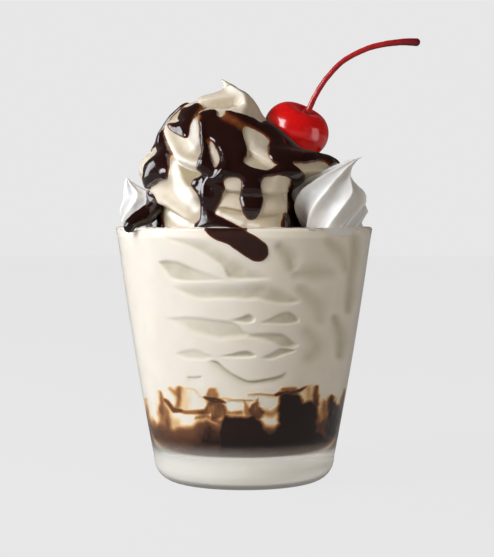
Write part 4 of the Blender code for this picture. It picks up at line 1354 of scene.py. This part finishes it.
# Fudge from where it is thin on the glass to where it is deep.
FUDGE_STOPS = (
    (0.0, (0.84, 0.76, 0.62)),
    (0.2, (0.79, 0.54, 0.28)),
    (0.42, (0.43, 0.195, 0.075)),
    (0.62, (0.16, 0.066, 0.032)),
    (0.88, (0.018, 0.0070, 0.005)),
)
# Sauce from its thin edges to where it is deep.
SAUCE_GLOSS = 0.65
SAUCE_STOPS = (
    (0.12, (0.42, 0.16, 0.035)),
    (0.42, (0.15, 0.040, 0.012)),
    (0.72, (0.030, 0.008, 0.005)),
    (1.0, (0.013, 0.0040, 0.0032)),
)
CHERRY_TONES = ((0.58, 0.005, 0.006), (0.70, 0.010, 0.009))
STEM_TONES = ((0.30, 0.008, 0.008), (0.44, 0.016, 0.014))
STEM_END = (0.13, 0.006, 0.012)
MILKY_FOOT = (1.0, 0.965, 0.885)
CLEAR_SIDE = (0.99, 0.985, 0.97)
THROUGH_GLASS = (0.95, 0.95, 0.94)


def mottled(tree, source, tones):
    """Two tones, parted where the source goes through the middle of its range."""
    return ramp(tree, source, ((0.3, tones[0]), (0.7, tones[1])))


def finish_cream(tree, shader, colour, gloss):
    """Gives cream its colour, the fine grain of ice crystals and a soft depth."""
    grain = noise(tree, 900.0, 4.0)
    inputs = {
        "Base Color": colour,
        "Roughness": mottled(tree, grain, CREAM_ROUGHNESS),
        "Normal": bump(tree, grain, 0.2, 0.2 * MM),
        "Subsurface Weight": 0.25,
        "Subsurface Radius": (1.0, 0.8, 0.55),
        "Subsurface Scale": 2 * MM,
        "Specular IOR Level": gloss,
    }
    set_inputs(tree, shader, inputs)


def cream_material(name, tones, shade, light, gloss):
    """Cream in two tones, with painted shade in its hollows and a painted highlight on its crests."""
    material, tree, shader = new_material(name)
    colour = mottled(tree, noise(tree, 120.0), tones)
    # Painted shade in the hollows, then a painted highlight on the crests.
    colour = mixed(tree, attribute(tree, "hollow"), colour, opaque(shade))
    colour = mixed(tree, attribute(tree, "painted_highlight"), colour, opaque(light))
    finish_cream(tree, shader, colour, gloss)
    return material


def foot_material():
    """Fudge against glass: plain soft serve where there is none, then tan, amber and near black."""
    material, tree, shader = new_material("fudge_on_glass")
    cream = mottled(tree, noise(tree, 120.0), FILLING_TONES)
    # Painted shade in the soft serve's hollows, as on the filling.
    cream = mixed(tree, attribute(tree, "hollow"), cream, opaque(FILLING_SHADE))
    share = attribute(tree, "fudge")
    wisps = in_range(tree, noise(tree, 260.0, 4.0, 1.5), start=0.86, end=1.14)
    fudge = ramp(tree, calculated(tree, "MULTIPLY", share, wisps), FUDGE_STOPS)
    colour = mixed(tree, in_range(tree, share, high=0.15), cream, fudge)
    finish_cream(tree, shader, colour, NO_GLOSS)
    return material


def sauce_material(name, gloss):
    """Fudge sauce, near black where it is deep and amber at its thin edges."""
    material, tree, shader = new_material(name)
    streaks = noise(tree, 300.0, 3.0, 1.0)
    depth = calculated(tree, "MULTIPLY_ADD", streaks, 0.25, attribute(tree, "thickness"))
    inputs = {
        "Base Color": ramp(tree, depth, SAUCE_STOPS),
        "Roughness": 0.12,
        "Normal": bump(tree, noise(tree, 60.0, 1.0), 0.1, 0.3 * MM),
        "IOR": 1.45,
        "Specular IOR Level": gloss,
    }
    set_inputs(tree, shader, inputs)
    return material


def cherry_material():
    """Dyed skin under syrup: red that light goes into, with a clear coat."""
    material, tree, shader = new_material("maraschino_skin")
    mottle = noise(tree, 160.0, 4.0, 0.6)
    inputs = {
        "Base Color": mottled(tree, mottle, CHERRY_TONES),
        "Roughness": 0.20,
        "Normal": bump(tree, mottle, 0.08, 0.4 * MM),
        "Subsurface Weight": 0.3,
        "Subsurface Radius": (1.0, 0.15, 0.1),
        "Subsurface Scale": 4 * MM,
        "Coat Weight": 0.5,
        "Coat Roughness": 0.03,
    }
    set_inputs(tree, shader, inputs)
    return material


def stem_material():
    """Dyed stem, darker towards its far end."""
    material, tree, shader = new_material("dyed_stem")
    mottle = noise(tree, 380.0)
    far = in_range(tree, coordinate(tree, "X"), 48 * MM, 60 * MM)
    inputs = {
        "Base Color": mixed(tree, far, mottled(tree, mottle, STEM_TONES), opaque(STEM_END)),
        "Roughness": 0.30,
        "Normal": bump(tree, mottle, 0.15, 0.2 * MM),
    }
    set_inputs(tree, shader, inputs)
    return material


def glass_material():
    """Lightly frosted glass, milkier at its foot, which lets the lamps through to what it holds."""
    material, tree, shader = new_material("frosted_tumbler")
    side = height_ramp(tree, 6 * MM, 24 * MM, 0.0, 1.0)
    frost = height_ramp(tree, 12 * MM, 32 * MM, 0.215, 0.13)
    inputs = {
        "Base Color": ramp(tree, side, ((0.0, MILKY_FOOT), (1.0, CLEAR_SIDE))),
        "Roughness": calculated(tree, "MULTIPLY_ADD", noise(tree, 700.0), 0.05, frost),
        "IOR": 1.46,
        "Specular IOR Level": 0.15,
        "Transmission Weight": height_ramp(tree, 5 * MM, 17 * MM, 0.50, 1.0),
    }
    set_inputs(tree, shader, inputs)
    path = add_node(tree, "LightPath", {}).outputs
    let_through = calculated(tree, "MAXIMUM", path["Is Shadow Ray"], path["Is Diffuse Ray"])
    through = add_node(tree, "BsdfTransparent", {"Color": opaque(THROUGH_GLASS)})
    layers = {"Fac": let_through, 1: shader.outputs["BSDF"], 2: through.outputs["BSDF"]}
    both = add_node(tree, "MixShader", layers)
    set_inputs(tree, tree.nodes["Material Output"], {"Surface": both.outputs["Shader"]})
    return material


# ---------------------------------------------------------------- floor, light and camera

STUDIO_GREY = 0.799
FLOOR_GREY = 0.03
FLOOR_RADIUS = 3.0
# The floor gives this much light to the sundae, whatever the camera sees of it.
FLOOR_LIGHT = 0.22
ROOM_COLOUR = (1.0, 0.95, 0.86)
ROOM_IN_FRONT = 0.10
ROOM_BEHIND = 0.62
# What shines mirrors this share of the room.
ROOM_IN_SHINE = 0.14
# Lamps that aim at the sundae's middle: size, place, power, colour, and whether each one lights what it
# falls on and whether it is seen as a reflection.
MIDDLE = (0, 0, 0.09)
LAMPS = (
    ("key", (0.62, 0.62), (-0.80, -0.47, 0.50), 14.2, (0.95, 0.98, 1.0), True, True),
    ("edge", (0.30, 0.60), (-0.72, 0.42, 0.30), 2.6, (0.95, 0.97, 1.0), True, True),
    ("gleam", (0.15, 0.60), (-0.70, -0.12, 0.22), 2.4, (0.96, 0.94, 1.0), False, True),
    ("window", (0.20, 0.26), (0.52, -0.62, 0.27), 1.8, (1.0, 0.91, 0.76), True, False),
)
PANE = ("pane", (0.14, 0.30), (0.26, -0.085, 0.060), 0.30, (1.0, 0.74, 0.74), False, True)


def straight_sight(tree):
    """1 for what the camera sees, also through glass, and 0 for light that falls on the sundae."""
    path = add_node(tree, "LightPath", {}).outputs
    mirrored = calculated(tree, "GREATER_THAN", path["Glossy Depth"], 0.5)
    outside = calculated(tree, "LESS_THAN", path["Transmission Depth"], 0.5)
    lit = calculated(tree, "GREATER_THAN", path["Diffuse Depth"], 0.5)
    dim = calculated(tree, "MAXIMUM", lit, calculated(tree, "MULTIPLY", mirrored, outside))
    return calculated(tree, "SUBTRACT", 1.0, dim)


def add_floor():
    """The pale floor, which the camera sees as bright as the studio, shadows aside."""
    bpy.ops.mesh.primitive_circle_add(
        vertices=96, radius=FLOOR_RADIUS, fill_type="NGON", location=(0, 0, -0.2 * MM)
    )
    floor = bpy.context.object
    floor.name = "floor"
    material, tree, shader = new_material("pale_floor")
    seen_as = STUDIO_GREY - FLOOR_GREY * 0.95
    inputs = {
        "Base Color": opaque((FLOOR_GREY,) * 3),
        "Roughness": 1.0,
        "Specular IOR Level": 0.0,
        "Emission Color": (1, 1, 1, 1),
        "Emission Strength": in_range(tree, straight_sight(tree), start=FLOOR_LIGHT, end=seen_as),
    }
    set_inputs(tree, shader, inputs)
    floor.data.materials.append(material)


def add_room():
    """A plain studio for the camera, and a warm room behind the sundae that lights it."""
    world = bpy.data.worlds.new("studio")
    bpy.context.scene.world = world
    world.use_nodes = True
    tree = world.node_tree
    backdrop = tree.nodes["Background"]
    set_inputs(tree, backdrop, {"Color": opaque((STUDIO_GREY,) * 3)})
    way = {axis: coordinate(tree, axis, "Generated") for axis in "YZ"}
    behind = calculated(tree, "SUBTRACT", way["Y"], way["Z"])
    room = in_range(tree, behind, -0.1, 0.9, ROOM_IN_FRONT, ROOM_BEHIND, interpolation_type="SMOOTHSTEP")
    glossy = add_node(tree, "LightPath", {}).outputs["Is Glossy Ray"]
    unseen = calculated(tree, "MULTIPLY", glossy, 1.0 - ROOM_IN_SHINE)
    strength = calculated(tree, "MULTIPLY", room, calculated(tree, "SUBTRACT", 1.0, unseen))
    around = add_node(tree, "Background", {"Color": opaque(ROOM_COLOUR), "Strength": strength})
    layers = {
        "Fac": straight_sight(tree),
        1: around.outputs["Background"],
        2: backdrop.outputs["Background"],
    }
    both = add_node(tree, "MixShader", layers)
    set_inputs(tree, tree.nodes["World Output"], {"Surface": both.outputs["Shader"]})


def add_lamp(target, name, size, place, power, colour, lights, shines):
    """A soft lamp, which may light what it falls on, be seen as a reflection, or both."""
    lamp = bpy.data.lights.new(name, "AREA")
    lamp.shape = "RECTANGLE"
    lamp.size, lamp.size_y = size
    lamp.energy = power
    lamp.color = colour
    holder = bpy.data.objects.new(name, lamp)
    holder.location = place
    way = Vector(target) - Vector(place)
    holder.rotation_euler = way.to_track_quat("-Z", "Y").to_euler()
    holder.visible_transmission = False
    holder.visible_diffuse = lights
    holder.visible_glossy = shines
    bpy.context.scene.collection.objects.link(holder)
    return holder


def add_lamps(cherry):
    """All the lamps; the pane shines on the cherry alone."""
    for lamp in LAMPS:
        add_lamp(MIDDLE, *lamp)
    cherry_alone = bpy.data.collections.new("cherry_alone")
    cherry_alone.objects.link(cherry)
    add_lamp(CHERRY_CENTRE, *PANE).light_linking.receiver_collection = cherry_alone


def add_camera():
    """The eye, tilted a little down."""
    data = bpy.data.cameras.new("eye")
    data.lens = EYE_LENS
    data.sensor_width = 36.0
    camera = bpy.data.objects.new("eye", data)
    camera.location = EYE
    camera.rotation_euler = (pi / 2 - EYE_TILT, 0, 0)
    bpy.context.scene.collection.objects.link(camera)
    bpy.context.scene.camera = camera


def main():
    """Builds every piece, then the floor, the light and the camera."""
    whipped = cream_material("whipped_cream_satin", *WHIPPED_LOOKS, CREAM_GLOSS)
    flat_whipped = cream_material("whipped_cream_on_glass", *WHIPPED_LOOKS, NO_GLOSS)
    sauce = sauce_material("fudge_sauce_gloss", SAUCE_GLOSS)
    flat_sauce = sauce_material("fudge_sauce_on_glass", NO_GLOSS)
    build_filling(cream_material("soft_serve_on_glass", *FILLING_LOOKS, NO_GLOSS))
    build_swirl(cream_material("vanilla_soft_serve", *SWIRL_LOOKS, CREAM_GLOSS))
    build_foot(foot_material())
    build_sauce(sauce)
    build_on_wall("fudge_sauce_on_glass", WALL_SAUCE, (-35, 25), flat_sauce, "fudge", "fudge_sauce")
    slot, node = "whipped_cream", "cream_rosette_right"
    build_on_wall("whipped_cream_on_glass", WALL_CREAM, (20, 95), flat_whipped, slot, node)
    build_rim_drop(sauce)
    build_rosettes(whipped)
    cherry = build_cherry(cherry_material())
    build_stem(stem_material())
    build_glass(glass_material())
    add_floor()
    add_room()
    add_lamps(cherry)
    add_camera()
    scene = bpy.context.scene
    scene.view_settings.view_transform = "Standard"
    scene.view_settings.look = "None"


main()
